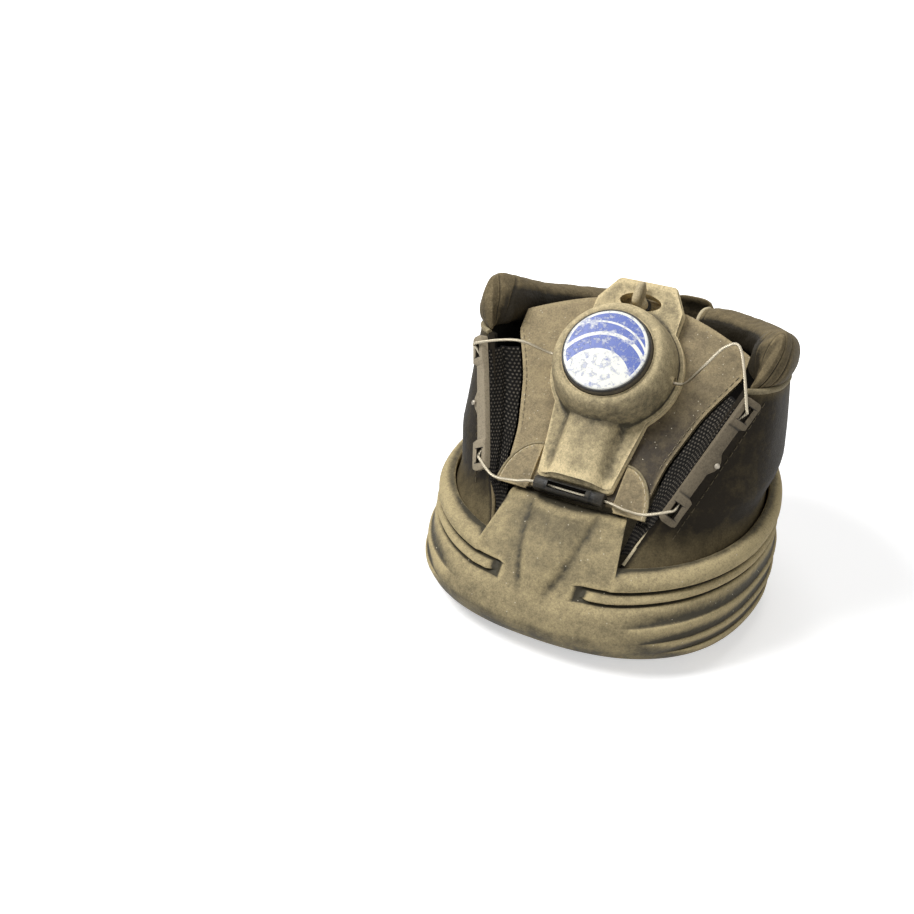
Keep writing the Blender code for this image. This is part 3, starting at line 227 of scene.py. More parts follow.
# Mesh gussets between the tongue and the quarters
gusset_foot_width = 0.0065
gusset_width = 0.0105
gusset_top_width = 0.0060
gusset_widen_station = 0.030
gusset_narrow_station = 0.045
gusset_end_station = 0.078
gusset_thickness = 0.0009
gusset_foot_height = 0.0425
gusset_top_height = 0.101
gusset_fold_start = 0.068
gusset_sag_share = 0.12
gusset_top_sag_share = 0.07
gusset_set_back = 0.0004
gusset_edge_depth = 0.0016
gusset_gap = 0.0009
slot_foot_x = 0.0262
slot_top_x = 0.0290
gusset_foot_depth = 0.0069
gusset_top_depth = 0.0080

# Lower lace guide across the foot of the tongue
tube_half_length = 0.0156
tube_foot = 0.0010
tube_height = 0.0060
tube_thickness = 0.0060
tube_bore_radius = 0.0012
tube_window_half_length = 0.0085
tube_window_height = 0.0028
tube_window_offset = -0.0008

# Reel on the tongue
reel_station = 0.0599
lace_port_radius = 0.0017
lace_port_height = 0.0052

# Spool, pull bush and dial
dial_radius = 0.0186
dial_foot = 0.0143
dial_web_top = 0.0160
dial_bore_radius = 0.0039
dial_cavity_radius = 0.0155
dial_cavity_top = 0.0212
dial_face_seat = 0.0219
dial_top = 0.0227
dial_face_radius = 0.0175
dial_face_clearance = 0.0003
dial_face_thickness = 0.0010
dial_face_crown = 0.0005
turned_sides = 40
slot_sides = 20
port_sides = 10

# Rubber reel cover: dome, neck with flanges, and top tab
cover_flange = 0.003
cover_hole_radius = 0.0190
cover_cavity_radius = 0.0196
cover_cavity_top = 0.0168
dome_radius = 0.0264
dome_upper_radius = 0.0262
dome_upper_reach = 60
dome_radius_shares = (0, 0.25, 0.48, 0.68, 0.84, 0.94, 1.0)
dome_heights = (0.0196, 0.0198, 0.0188, 0.0164, 0.0124, 0.0080, 0.0045)
dome_upper_heights = (0.0196, 0.0197, 0.0192, 0.0177, 0.0142, 0.0098, 0.0056)
neck_foot = 0.0075
neck_half_width = 0.0125
neck_flange_foot = 0.0165
neck_flange_top = 0.0230
neck_rise_foot = 0.0055
neck_rise_top = 0.0108
neck_power = 4
tab_end = 0.1018
tab_half_width_end = 0.0128
tab_slant = 0.6
tab_half_width_root = 0.0195
tab_rise = 0.0019
cover_blend_power = 5
cover_margin = 0.0020
cover_settle = 0.004
slot_station = 0.0915
slot_half_length = 0.0093
slot_half_width = 0.0041

# Turn button
button_stem_radius = 0.0029
button_stem_foot = 0.0016
wing_foot = 0.0056
wing_height = 0.0075
wing_low_reach = 0.0042
wing_high_reach = 0.0074
wing_thickness = 0.0028

# Steel lace
lace_diameter = 0.0012
lace_route = [
    (-0.0099, -0.0154, 0.1008),
    (-0.0085, -0.0100, 0.1068),
    (-0.0017, -0.0071, 0.1100),
    (0.0062, -0.0084, 0.1086),
    (0.0166, -0.0138, 0.1026),
    (0.0215, -0.0138, 0.1026),
    (0.0300, -0.0138, 0.1026),
    (0.0390, -0.0192, 0.1140),
    (0.0450, -0.0152, 0.1220),
    (0.0510, -0.0137, 0.1220),
    (0.0597, -0.0251, 0.1037),
    (0.0596, -0.0239, 0.1004),
    (0.0570, -0.0242, 0.0964),
    (0.0530, -0.0298, 0.0867),
    (0.0485, -0.0366, 0.0755),
    (0.0445, -0.0426, 0.0658),
    (0.0438, -0.0468, 0.0633),
    (0.0419, -0.0499, 0.0631),
    (0.0340, -0.0547, 0.0615),
    (0.0250, -0.0517, 0.0595),
    (0.0166, -0.0498, 0.0598),
    (0.0000, -0.0498, 0.0598),
    (-0.0166, -0.0498, 0.0598),
    (-0.0240, -0.0517, 0.0588),
    (-0.0330, -0.0542, 0.0595),
    (-0.0419, -0.0499, 0.0631),
    (-0.0438, -0.0468, 0.0633),
    (-0.0445, -0.0426, 0.0658),
    (-0.0485, -0.0366, 0.0755),
    (-0.0530, -0.0298, 0.0867),
    (-0.0570, -0.0242, 0.0964),
    (-0.0596, -0.0239, 0.1004),
    (-0.0597, -0.0251, 0.1037),
    (-0.0420, -0.0222, 0.1080),
    (-0.0300, -0.0138, 0.1026),
    (-0.0215, -0.0138, 0.1026),
    (-0.0166, -0.0138, 0.1026),
    (-0.0062, -0.0192, 0.0966),
    (0.0017, -0.0205, 0.0952),
    (0.0085, -0.0175, 0.0984),
    (0.0099, -0.0122, 0.1044),
]
tiny = 0.001
LEFT = -1
RIGHT = 1
SIDES = (("left", LEFT), ("right", RIGHT))

# Fine counts and marks of the shell, as drawn here; the groove and crest values paint shade into its grooves and a
# highlight onto its crests
fine_shield_columns = 22
fine_wall_columns = 110
fine_rounding = 2
shell_unevenness = 0.00035
shell_uneven_scale = 45
rib_boldness = 1.4
slit_boldness = 1.6
slit_flank_steepness = 0.6
relief_low = 1.3
relief_high = 0.6
groove_painted_shade = 1.8
crest_painted_highlight = 0.7

# Dust that lies on the pieces, and painted light and shade on the tongue and the collar: the ranges over which it
# comes or goes, and its amounts
wall_dust_heights = (0.004, 0.030)
lip_dust_widths = (0.030, 0.060)
lip_dust_heights = (0.036, 0.046)
toe_reaches = (0.045, 0.060)
toe_bare_heights = (0.010, 0.024)
shield_bare_widths = (0.010, 0.026)
shield_bare_heights = (0.024, 0.038)
foot_dust = 0.25
wall_dust = 0.35
lip_dust = 0.7
shield_bareness = 0.7
toe_bareness = 1.3
smudge_scale = 70
smudge_middle = 0.5
leather_dust_below = 0.001
leather_dust_above = 0.011
cut_edge_widths = (0.0004, 0.0016)
cut_edge_dust = -1.6
tongue_lit_widths = (0.012, 0.030)
tongue_top_heights = (0.090, 0.120)
tongue_shade_widths = (0.004, 0.018)
tongue_shade_heights = (0.078, 0.100)
tongue_dust = 0.5
tongue_left_light = 0.7
tongue_top_share = 0.5
tongue_shade = 1.3
guide_left_dust = 0.7
guide_right_dust = -0.9
collar_dust = 0.3
collar_inner_shade = 3.0
collar_shade_run = (0.10, 0.24)
collar_shade_across = (-0.2, 0.3)
collar_shade_rise = (-0.75, -0.15)

# Uppers: counts, wrinkles, seams and pipings
quarter_rows = 56
quarter_columns = 36
quarter_wrinkle = 0.0005
wrinkle_scale = 28
fine_wrinkle_scale = 95
fine_wrinkle_share = 0.25
steepest_angle = -89
lining_columns = 30
lining_wrinkle = 0.0006
binding_points = 40
binding_sink_share = 0.35
binding_start = 0.001
binding_end = 0.004
binding_away = 0.0004
binding_radius = 0.00085
heel_grid = (16, 30)
heel_corner_power = 4
heel_corner_drop = 0.0040
heel_top_tuck = 0.0016
heel_top_tuck_height = 0.006
collar_stations = 130
collar_station_power = 1.25
collar_points = 44
collar_seams = (0.045, 0.125, 0.955)
collar_seam_width = 0.006
collar_seam_pinch = 0.11
collar_end_pinch = 0.16
collar_crease = 0.0003
collar_inner_crease = 0.0007
collar_crease_scale = 70
collar_fine_scale = 190
collar_fine_share = 0.4
pucker_scale = Vector((260, 260, 40))
pucker_depth = 0.00022
rear_piping_place = 0.985
rear_piping_swell = 1.01
rear_piping_radius = 0.0010
rear_piping_start = -7
rear_piping_end = 10
seam_piping_points = 80
seam_piping_start = 0.5
seam_piping_sink = 0.0005
seam_piping_radius = 0.00125

# Mesh gussets: how far they come up beside the leather, their crease, and two points given in place of a body,
# which leave them unattached
gusset_grid = (40, 70)
gusset_lift = 0.0020
gusset_overlap = 0.0017
gusset_lift_heights = (0.045, 0.056)
gusset_free_shares = (0.04, 0.30)
gusset_creases = {LEFT: 0.0022, RIGHT: 0.0004}
gusset_crease_share = 0.42
gusset_crease_width = 0.10
gusset_crease_heights = (0.047, 0.060)
gusset_bend_low = 0.050
gusset_bend_middle = 0.075
gusset_bend_high = 0.098
gusset_bend_shares = (0.12, 0.92)
gusset_weave = (0.0125, 0.0705)

# Tongue, its pad and its patches; the pad's channels have a shift, a pitch and a width in millimetres
tongue_grid = (56, 40)
tongue_rough_scale = 40
tongue_roughness = 0.0004
pad_grid = (40, 26)
pad_rough_scale = 60
pad_roughness = 0.0003
pad_edge_thickness = 0.0012
pad_edge_power = 6
pad_channel_depth = 0.0006
pad_channels = (6, 22, 1.2)
patch_grid = (30, 12)
patch_centre_share = 0.06
patch_puff = 0.0004
patch_edge_points = 31
patch_edge_radius = 0.00055

# Side guides and tube: counts, plates, lug and rounding; the tube's ends are (reach, scale) shares
guide_stations = 90
guide_tuck = 0.0009
guide_plate_spread = 0.8
guide_plate_lengths = (0.0118, 0.0132)
guide_tip_length = 0.0011
guide_tip_share = 0.35
guide_lug_lengths = (0.0010, 0.0045)
guide_bar_out = 0.0011
guide_plate_inset = 0.0004
guide_bar_thinness = 0.0006
guide_tip_thickness = 0.9
guide_edge = 0.0007
edge_middle = 0.3
tube_ends = ((1.0, 0.72), (0.985, 0.9), (0.95, 1.0), (0.7, 0.97), (0.62, 0.97), (0.6, 1.0))
tube_power = 0.7
tube_bore_sides = 20
box_sides = 32

# Reel cover and dial
cover_turns = 180
cover_rough_scale = 60
cover_roughness = 0.0002
dome_steps = 26
cover_flat_shares = (0.08, 0.18, 0.3, 0.45, 0.6, 0.75, 0.87, 0.95)
cover_rim = ((0.97, 0.06), (1.0, 0.35))
dial_sides = 120
dial_edge = 0.0009
dial_seat_drop = 0.0001
dial_seat_flare = 0.0002
face_edge_height = 0.0003
face_edge_width = 0.0004
face_crown_steps = 8

# Turn button: shares of its measures, and the gaps and the cut edge of its stem
wing_levels = 16
wing_crown_start = 0.80
wing_crown_least = 0.12
wing_reach_share = 0.78
wing_swell_rise = 1.15
wing_crown_pull = 0.25
wing_thickness_share = 0.62
wing_foot_share = 0.9
wing_powers = (0.6, 0.8)
stem_sides = 36
stem_gap = 0.0002
stem_foot_gap = 0.0001
stem_edge = (0.0005, 0.0004)

# Cords and stitches; a seam has its start, its end and its points
parallel_limit = 0.95
cord_sides = 10
stitch_sides = 6
stitch_steps = 4
stitch_arch = 1.1
stitch_sink = 0.35
stitch_height = 0.0001
front_seam = (0.050, 0.1045, 60)
front_seam_away = 0.0118
tongue_seam = (0.024, 0.074, 60)
tongue_seam_inset = 0.0018
shield_seam_station = 0.0022
shield_seam_inset = 0.001
shield_seam_start = 0.0178
shield_seam_points = 40
patch_seam_points = 40
patch_seam_inset = 0.0011
lace_steps = 8

# Stitches by seam: length, space between two and radius of the thread
stitch_sizes = {"front": (0.0022, 0.0011, 0.00020), "tongue": (0.0020, 0.0012, 0.00018),
                "shield": (0.0019, 0.0012, 0.00026), "patch": (0.0019, 0.0010, 0.00020)}

# Runs of the lace: first and last point, and its body or two points, where the run stays unattached
lace_runs = (("reel_right", 0, 6, "tongue"), ("loop_right", 6, 11, (10, 6)), ("guide_right", 11, 16, "boot"),
             ("low_right", 16, 20, (16, 20)), ("tube", 20, 22, "tongue"), ("low_left", 22, 26, (26, 22)),
             ("guide_left", 26, 31, "boot"), ("loop_left", 31, 34, (32, 34)), ("reel_left", 34, 40, "tongue"))

# Light of the studio: what the world gives, then each lamp's name, place, size and power
fill_light = 0.20
lamp_aim_height = 0.06
lamps = (("key", (-0.50, -0.42, 0.85), 0.40, 8.6), ("top", (-0.05, 0.20, 1.1), 0.5, 3.8),
         ("side", (0.85, -0.65, 0.55), 0.5, 2.3))

# Dust on a surface, with a painted highlight on raised edges and painted shade in hollows: noises have a detail
# and a roughness, ranges a low and a high value
blotch_noise = (6.0, 0.65)
medium_noise = (5.0, 0.7)
medium_scale = 7.0
fine_noise = (3.0, 0.85)
fine_scale = 1300.0
edge_light_range = (0.46, 0.56)
hollow_shade_share = 0.8
blotch_share = 0.55
medium_share = 0.45
upward_share = 0.35
lying_share = 0.3
cover_range = (0.24, 0.86)
fine_range = (0.34, 0.64)
fine_share = 0.55
streak_range = (0.36, 0.64)
streak_share = 0.16
least_cover = 0.54
dust_height = 0.35
splash_range = (0.26, 0.12)

# Grain and mesh; a noise has a share of the grain's scale, a detail and a roughness
grain_fine = (1.7, 3.0, 0.7)
grain_ridge = (0.12, 4.0, 0.55)
thread_range = (0.40, 0.16)

# Dial print: a noise has a scale, a detail and a roughness; a mark a place across and along, a radius and a width
rim_radius = 0.465
low_disc = (0.0, -0.42, 0.42)
arc_marks = ((0.02, -0.36, 0.56, 0.022), (-0.05, -0.30, 0.64, 0.012))
chip_noise = (420.0, 6.0, 0.75)
chip_range = (0.52, 0.60)
chip_share = 0.6
scuff_noise = (130.0, 5.0, 0.7)
scuff_range = (0.56, 0.66)
wear_share = 0.8

# Heights of the bumps, the wear of metal, and the floor's size and glow round the boot
mesh_height = 0.0006
print_height = 0.00008
strand_height = 0.00006
metal_wear_scale = 900.0
metal_polish = 0.1
metal_dull = 0.15
floor_size = 6
glow_reach = (0.14, 0.42)

# Dusty finishes: name, base, dust, amount, blotch scale, edge shading (painted highlight on raised edges, painted
# shade in hollows), dust and shade (stored dust, with painted light on tops and painted shade under them), grain,
# crease, depth, roughness
rubber = (0.05, 0.043, 0.027)
dusty_looks = {
    "shell": ("shell_rubber_dusty", rubber, (0.48, 0.39, 0.215), 0.53, 45, 1.3, 0.8, 900, 0.35, 0.00028,
              (0.6, 0.92)),
    # Cover: dust, whose pale colour and strong upward value also paint light on the dome's top and rim and shade
    # under it
    "cover": ("cover_rubber_dusty", rubber, (0.73, 0.60, 0.35), 0.53, 60, 0.9, 1.8, 1100, 0.15, 0.00022,
              (0.6, 0.92)),
    "tongue": ("tongue_leather_dusty", (0.036, 0.026, 0.015), (0.40, 0.32, 0.185), 0.41, 30, 0.5, 0.8, 1200,
               0.25, 0.00022, (0.55, 0.9)),
    "patch": ("patch_leather_dusty", (0.055, 0.043, 0.026), (0.47, 0.375, 0.215), 0.56, 60, 0.6, 0.5, 1200, 0.2,
              0.0002, (0.55, 0.92)),
    "piping": ("piping_leather", (0.05, 0.04, 0.024), (0.36, 0.30, 0.18), 0.50, 120, 0.4, 0.4, 1400, 0.1,
               0.00015, (0.55, 0.92)),
    "binding": ("binding_leather_edge", (0.16, 0.13, 0.08), (0.62, 0.53, 0.35), 0.60, 200, 0.4, 0.4, 1400, 0.1,
                0.00015, (0.55, 0.92)),
    "quarter": ("quarter_leather_dark", (0.013, 0.0095, 0.005), (0.19, 0.15, 0.08), 0.24, 25, 0.5, 1.1, 1100,
                0.4, 0.00016, (0.62, 0.9)),
    "collar": ("collar_leather_worn", (0.020, 0.0155, 0.0085), (0.23, 0.18, 0.10), 0.43, 50, 0.9, 0.9, 900, 0.7,
               0.0003, (0.6, 0.9)),
    "lining": ("lining_cloth_dark", (0.004, 0.0035, 0.0025), (0.035, 0.03, 0.02), 0.22, 70, 0.2, 0.3, 1600, 0.1,
               0.0003, (0.9, 0.95)),
    "guide_left": ("guide_plastic_dusty", (0.03, 0.025, 0.018), (0.32, 0.27, 0.19), 0.42, 90, 1.6, 0.9, 1500,
                   0.05, 0.0001, (0.5, 0.85)),
    "guide_right": ("guide_plastic_rubbed", (0.028, 0.023, 0.016), (0.17, 0.14, 0.095), 0.42, 90, 2.2, 0.9,
                    1500, 0.05, 0.0001, (0.5, 0.85)),
    "button": ("button_plastic_dusty", (0.085, 0.064, 0.036), (0.52, 0.43, 0.265), 0.60, 120, 1.2, 0.5, 1500,
               0.1, 0.0001, (0.5, 0.85)),
    "tube": ("tube_plastic_black", (0.004, 0.004, 0.0035), (0.08, 0.068, 0.05), 0.20, 150, 0.8, 0.4, 1500, 0.05,
             0.00008, (0.35, 0.7)),
    "dial": ("dial_plastic_black", (0.010, 0.008, 0.006), (0.13, 0.108, 0.072), 0.25, 120, 0.8, 0.3, 1500, 0.05,
             0.00008, (0.4, 0.8)),
    "inner": ("inner_plastic_dark", (0.03, 0.03, 0.03), (0.12, 0.11, 0.09), 0.2, 150, 0.3, 0.2, 1500, 0.05,
              0.00008, (0.4, 0.6)),
    "gear": ("gear_plastic_pale", (0.5, 0.48, 0.42), (0.3, 0.27, 0.2), 0.2, 150, 0.3, 0.2, 1500, 0.05, 0.00008,
             (0.35, 0.55)),
    "board": ("insole_board_worn", (0.02, 0.017, 0.011), (0.12, 0.10, 0.062), 0.42, 60, 0.2, 0.4, 1200, 0.2,
              0.0003, (0.88, 0.95)),
    "thread": ("thread_dusty", (0.05, 0.042, 0.028), (0.30, 0.25, 0.165), 0.5, 200, 0.4, 0.2, 2000, 0.05,
               0.00005, (0.7, 0.9)),
    "thread_dark": ("thread_dark", (0.018, 0.014, 0.009), (0.14, 0.115, 0.07), 0.42, 200, 0.4, 0.2, 2000, 0.05,
                    0.00005, (0.7, 0.9)),
    "thread_pale": ("thread_pale", (0.25, 0.21, 0.14), (0.66, 0.57, 0.40), 0.62, 200, 0.4, 0.2, 2000, 0.05,
                    0.00005, (0.7, 0.9)),
}

# Share and scale of dried splashes, and the specular level of the finishes that differ from the plain one
splashes = {"shell": (0.03, 800.0), "tongue": (0.10, 900.0), "patch": (0.06, 900.0)}
plain_gloss = 0.25
glosses = {"quarter": 0.12, "collar": 0.16, "lining": 0.1, "tube": 0.2, "dial": 0.3, "gear": 0.5, "board": 0.1}

# CAD nodes that stay visible, by finish
cad_looks = {"board": ["insole"], "brass": ["pull_bush"],
             "steel": ["guide_stud_left", "guide_stud_right", "centre_screw"],
             "inner": ["reel_base", "reel_housing", "button_base"],
             "gear": ["ring_gear", "sun_gear", "planet_gear_1", "planet_gear_2", "planet_gear_3", "spool"]}

# Kinds of socket of a shader group
COLOUR = "NodeSocketColor"
NUMBER = "NodeSocketFloat"


def smooth_value(shares, values, share):
    """Value at a share, on a smooth curve through the stations."""
    last = len(shares) - 1
    high = next((index for index in range(1, last) if shares[index] > share), last)
    low = high - 1

    def slope(index):
        before = max(index - 1, 0)
        after = min(index + 1, last)
        return (values[after] - values[before]) / (shares[after] - shares[before])

    span = shares[high] - shares[low]
    along = min(max((share - shares[low]) / span, 0), 1)
    bend = along * along * (3 - 2 * along)
    ease_in = along * (1 - along) ** 2
    ease_out = along * along * (1 - along)
    level = values[low] * (1 - bend) + values[high] * bend
    return level + span * (slope(low) * ease_in - slope(high) * ease_out)


def ramp(value, start, end):
    """Smooth step from 0 at start to 1 at end."""
    share = min(max((value - start) / (end - start), 0), 1)
    return share * share * (3 - 2 * share)


def mix(low, high, share):
    """Straight blend of two values."""
    return low + (high - low) * share


def spaced(low, high, count):
    """Values in equal steps from low to high."""
    return [mix(low, high, step / (count - 1)) for step in range(count)]


def turns(count):
    """Angles of a full turn in equal steps."""
    return [2 * math.pi * step / count for step in range(count)]


def fold_angle(angle):
    """The angle of the same place on the right-hand half."""
    return angle if angle <= heel_angle else 2 * heel_angle - angle


def form_extents(height, out):
    """Half width, toe reach and heel reach of the outline at one height."""
    share = height / form_height
    half = boot_half_width * smooth_value(form_height_shares, half_width_shares, share) + out
    front = toe_reach * smooth_value(form_height_shares, toe_reach_shares, share) + out
    back = heel_reach * smooth_value(form_height_shares, heel_reach_shares, share) + out
    return half, front, back


def form_point(angle, height, out=0):
    """Point on the boot's outer form, moved out square to the form by a length."""
    half, front, back = form_extents(height, out)
    cosine = math.cos(math.radians(angle))
    sine = math.sin(math.radians(angle))
    fullness = toe_fullness if sine < 0 else heel_fullness
    reach = -front if sine < 0 else back
    x = math.copysign(half * abs(cosine) ** (2 / fullness), cosine)
    return Vector((x, reach * abs(sine) ** (2 / fullness) + form_shift, height))


def form_normal(angle, height):
    """Level direction out of the form."""
    along = form_point(angle + angle_step, height) - form_point(angle - angle_step, height)
    return Vector((along.y, -along.x, 0)).normalized()


def form_half_width_at(y, height, out):
    """Half width of the outline at one place along the boot."""
    half, front, back = form_extents(height, out)
    along = y - form_shift
    fullness = toe_fullness if along < 0 else heel_fullness
    reach = front if along < 0 else back
    return half * max(1 - abs(along / reach) ** fullness, 0) ** (1 / fullness)


def sided(point, side):
    """Mirror a right-hand point to the left where the side asks for it."""
    return Vector((point.x * side, point.y, point.z))


def lip_height(fold):
    """Height of the shell's side lip."""
    share = max((fold - slot_angle) / (heel_angle - slot_angle), 0)
    return mix(lip_front_height, lip_heel_height, share ** lip_sweep)


def wall_thickness(fold):
    """Level thickness of the shell's wall, thicker where the toe slopes."""
    return mix(shell_toe_wall, shell_wall, ramp(fold, shield_edge_angle, toe_wall_end_angle))


def recess(fold, height):
    """How far the top of the front shield is set back."""
    if fold > shield_edge_angle:
        return 0
    return shield_recess * ramp(height, shield_recess_start, shield_top_height)


def boss(angle, height):
    """Rise of the nose-shaped boss on the toe."""
    share = (height - boss_foot_height) / (shield_top_height - boss_foot_height)
    if share <= 0 or fold_angle(angle) > slot_angle:
        return 0
    reach = boss_half_width * share ** boss_spread_power
    across = form_point(angle, height).x / reach
    if abs(across) >= 1:
        return 0
    crown = (1 - across * across) ** boss_crown_power
    return boss_rise * crown * ramp(height, boss_foot_height, boss_foot_height + boss_fade_height)


def sheet_solid(shape, outer, inner):
    """Close two grids of points, outer[u][v] and inner[u][v], into one solid sheet."""
    top = [[shape.verts.new(point) for point in row] for row in outer]
    low = [[shape.verts.new(point) for point in row] for row in inner]
    rows = len(top)
    columns = len(top[0])
    for grid in (top, low):
        for row in range(rows - 1):
            for column in range(columns - 1):
                shape.faces.new((grid[row][column], grid[row + 1][column],
                                 grid[row + 1][column + 1], grid[row][column + 1]))
    border = [(0, column) for column in range(columns)]
    border += [(row, columns - 1) for row in range(1, rows)]
    border += [(rows - 1, column) for column in range(columns - 2, -1, -1)]
    border += [(row, 0) for row in range(rows - 2, 0, -1)]
    for place_now, place_next in zip(border, border[1:] + border[:1]):
        a, b = top[place_now[0]][place_now[1]], top[place_next[0]][place_next[1]]
        c, d = low[place_next[0]][place_next[1]], low[place_now[0]][place_now[1]]
        shape.faces.new((a, b, c, d))
    return shape


def ring_solid(shape, rings, closed=False):
    """Bridge rings of points in turn: cap the first and last, or join them into a closed tube."""
    loops = [[shape.verts.new(point) for point in ring] for ring in rings]
    count = len(loops[0])
    pairs = list(zip(loops, loops[1:]))
    if closed:
        pairs.append((loops[-1], loops[0]))
    for low, high in pairs:
        for index in range(count):
            follow = (index + 1) % count
            shape.faces.new((low[index], low[follow], high[follow], high[index]))
    if not closed:
        shape.faces.new(loops[0])
        shape.faces.new(loops[-1])
    return shape


def turned(shape, profile, frame, sides=turned_sides):
    """Turn a profile of (radius, height) pairs about an axis; ends at radius 0 close on the axis."""
    rings = []
    for radius, height in profile:
        if radius == 0:
            rings.append([shape.verts.new(frame @ Vector((0, 0, height)))])
            continue
        spots = [Vector((radius * math.cos(turn), radius * math.sin(turn), height)) for turn in turns(sides)]
        rings.append([shape.verts.new(frame @ spot) for spot in spots])
    pairs = list(zip(rings, rings[1:]))
    if len(rings[0]) > 1:
        pairs.append((rings[-1], rings[0]))
    for low, high in pairs:
        for index in range(sides):
            follow = (index + 1) % sides
            corners = [low[index % len(low)], low[follow % len(low)],
                       high[follow % len(high)], high[index % len(high)]]
            shape.faces.new(list(dict.fromkeys(corners)))
    return shape


def block(shape, size, frame):
    """Box of a size, centred in a frame."""
    scale = Matrix.Diagonal((*size, 1))
    bmesh.ops.create_cube(shape, size=1, matrix=frame @ scale)
    return shape


def tongue_frame(station=0, height=0):
    """Frame on the tongue: X across, Y up the slope, Z out of the tongue."""
    hinge_out = -(shield_recess + hinge_inset)
    origin = form_point(toe_angle, shield_top_height, hinge_out) + Vector((0, 0, seat_gap))
    tilt = Matrix.Rotation(math.radians(tongue_pitch), 4, "X")
    return Matrix.Translation(origin) @ tilt @ Matrix.Translation((0, station, height))


def edge_x(height):
    """Place across the boot of a quarter's front edge."""
    share = (max(height, edge_foot_height) - edge_foot_height) / (edge_top_height - edge_foot_height)
    return mix(edge_foot_x, edge_top_x, share)


def edge_angle(height):
    """Angle of a quarter's front edge."""
    out = 0
    for _ in range(edge_solve_steps):
        across = min(edge_x(height) / form_extents(height, out)[0], edge_top_share)
        fold = -math.degrees(math.acos(across ** (toe_fullness / 2)))
        out = quarter_out(fold, height)
    return fold


def seam_height(fold):
    """Height of the seam between a quarter and its collar."""
    return mix(seam_front_height, seam_heel_height, ramp(fold, seam_start_angle, heel_angle))


def quarter_out(fold, height):
    """Outer face of a quarter: tucked behind the shell's wall below, swelling out above the lip."""
    tucked = -(wall_thickness(fold) + tuck_gap)
    lip = lip_height(fold)
    swell = mix(-quarter_inset, quarter_bulge, ramp(fold, bulge_start_angle, bulge_full_angle))
    return mix(tucked, swell, ramp(height, lip, lip + quarter_swell_height))


def tongue_half_width(station):
    """Half width of the tongue at one station up its slope."""
    height = (tongue_frame(station) @ Vector((0, 0, 0))).z
    width = mix(gusset_foot_width, gusset_width, ramp(station, 0, gusset_widen_station))
    width = mix(width, gusset_top_width, ramp(station, gusset_narrow_station, gusset_end_station))
    return min(edge_x(height) - width, tongue_half_width_limit)


def tongue_drop(x, station):
    """How far the tongue's face bends back from its flat frame."""
    share = x / tongue_half_width_limit
    return tongue_bow * share * share * min(max(station / tongue_bow_length, 0), 1)


def on_tongue(x, station, height=0):
    """Point over the tongue's face."""
    return tongue_frame() @ Vector((x, station, height - tongue_drop(x, station)))


def tread_cuts():
    """Pockets in the middle of the sole and grooves across its rim."""
    shape = bmesh.new()
    front = -toe_reach * tread_front_share
    back = heel_reach * tread_back_share
    pitch = (back - front) / tread_pocket_rows
    for row in range(tread_pocket_rows):
        low = front + row * pitch + tread_bar_width / 2
        high = front + (row + 1) * pitch - tread_bar_width / 2
        for side in (LEFT, RIGHT):
            outline = [(tread_bar_width / 2, low)]
            for share in tread_outline_shares:
                y = mix(low, high, share)
                outline.append((form_half_width_at(y, 0, -tread_band_width), y))
            outline.append((tread_bar_width / 2, high))
            rings = [[Vector((x * side, y, z)) for x, y in outline] for z in (-cut_overrun, tread_depth)]
            ring_solid(shape, rings)
    for angle in tread_groove_angles:
        for turned_angle in (angle, 2 * heel_angle - angle):
            out = form_normal(turned_angle, 0)
            middle = form_point(turned_angle, 0) + out * (tread_groove_outer - tread_groove_inner) / 2
            frame = Matrix.Translation(middle) @ Matrix.Rotation(math.atan2(out.y, out.x), 4, "Z")
            length = tread_groove_outer + tread_groove_inner
            block(shape, (length, tread_groove_width, 2 * tread_depth), frame)
    return shape


def collar_spot(along, across, rise):
    """Point of the right-hand collar: across from -1 inside to 1 outside, rise from -1 to 1."""
    front = mix(collar_foot_angle, collar_front_angle, (rise + 1) / 2)
    fold = mix(front, collar_back_angle, along)
    half_height = collar_half_height * smooth_value(collar_length_shares, collar_height_shares, along)
    depth_share = smooth_value(collar_length_shares, collar_depth_shares, along)
    end = min(1 - along, collar_end_share) / collar_end_share
    scale = mix(collar_end_scale_share, 1, math.sqrt(1 - (1 - end) ** 2))
    foot = seam_height(fold) + seat_gap
    centre_height = foot + half_height
    inset = collar_inset * depth_share
    out = collar_half_depth * depth_share * across * scale - inset
    spot = form_point(fold, centre_height) + form_normal(fold, foot) * out
    spot.z += half_height * rise * scale
    return spot


def gusset_edges(height):
    """Back of the right-hand gusset at its inner and its outer edge, at one height."""
    fold = edge_angle(height)
    out = quarter_out(fold, height) - gusset_edge_depth
    reach = (form_point(fold, height, out) - form_point(fold - angle_step, height, out)).length
    outer = form_point(fold - gusset_gap / reach, height, out)
    base = tongue_frame() @ Vector((0, 0, 0))
    if height <= base.z:
        share = (height - gusset_foot_height) / (base.z - gusset_foot_height)
        x = mix(slot_foot_x, slot_top_x, share)
        angle = -math.degrees(math.acos((x / form_extents(height, 0)[0]) ** (toe_fullness / 2)))
        inner = form_point(angle, height)
        inner.y += mix(gusset_foot_depth, gusset_top_depth, share) + gusset_thickness
        inner.x = x + gusset_gap
    else:
        station = (height - base.z) / math.sin(math.radians(tongue_pitch))
        x = tongue_half_width(station) + gusset_gap + gusset_thickness
        inner = on_tongue(x, station, -gusset_set_back - gusset_thickness)
    return inner, outer


def upper_share(turn):
    """Share of the dome's drawn-in upper side, at the tab, in its form at one turn round the reel."""
    away = math.degrees(math.acos(max(min(-math.cos(turn), 1), -1)))
    return ramp(away, dome_upper_reach, 0)


def dome_edge(turn):
    """Radius of the dome's foot."""
    return mix(dome_radius, dome_upper_radius, upper_share(turn))


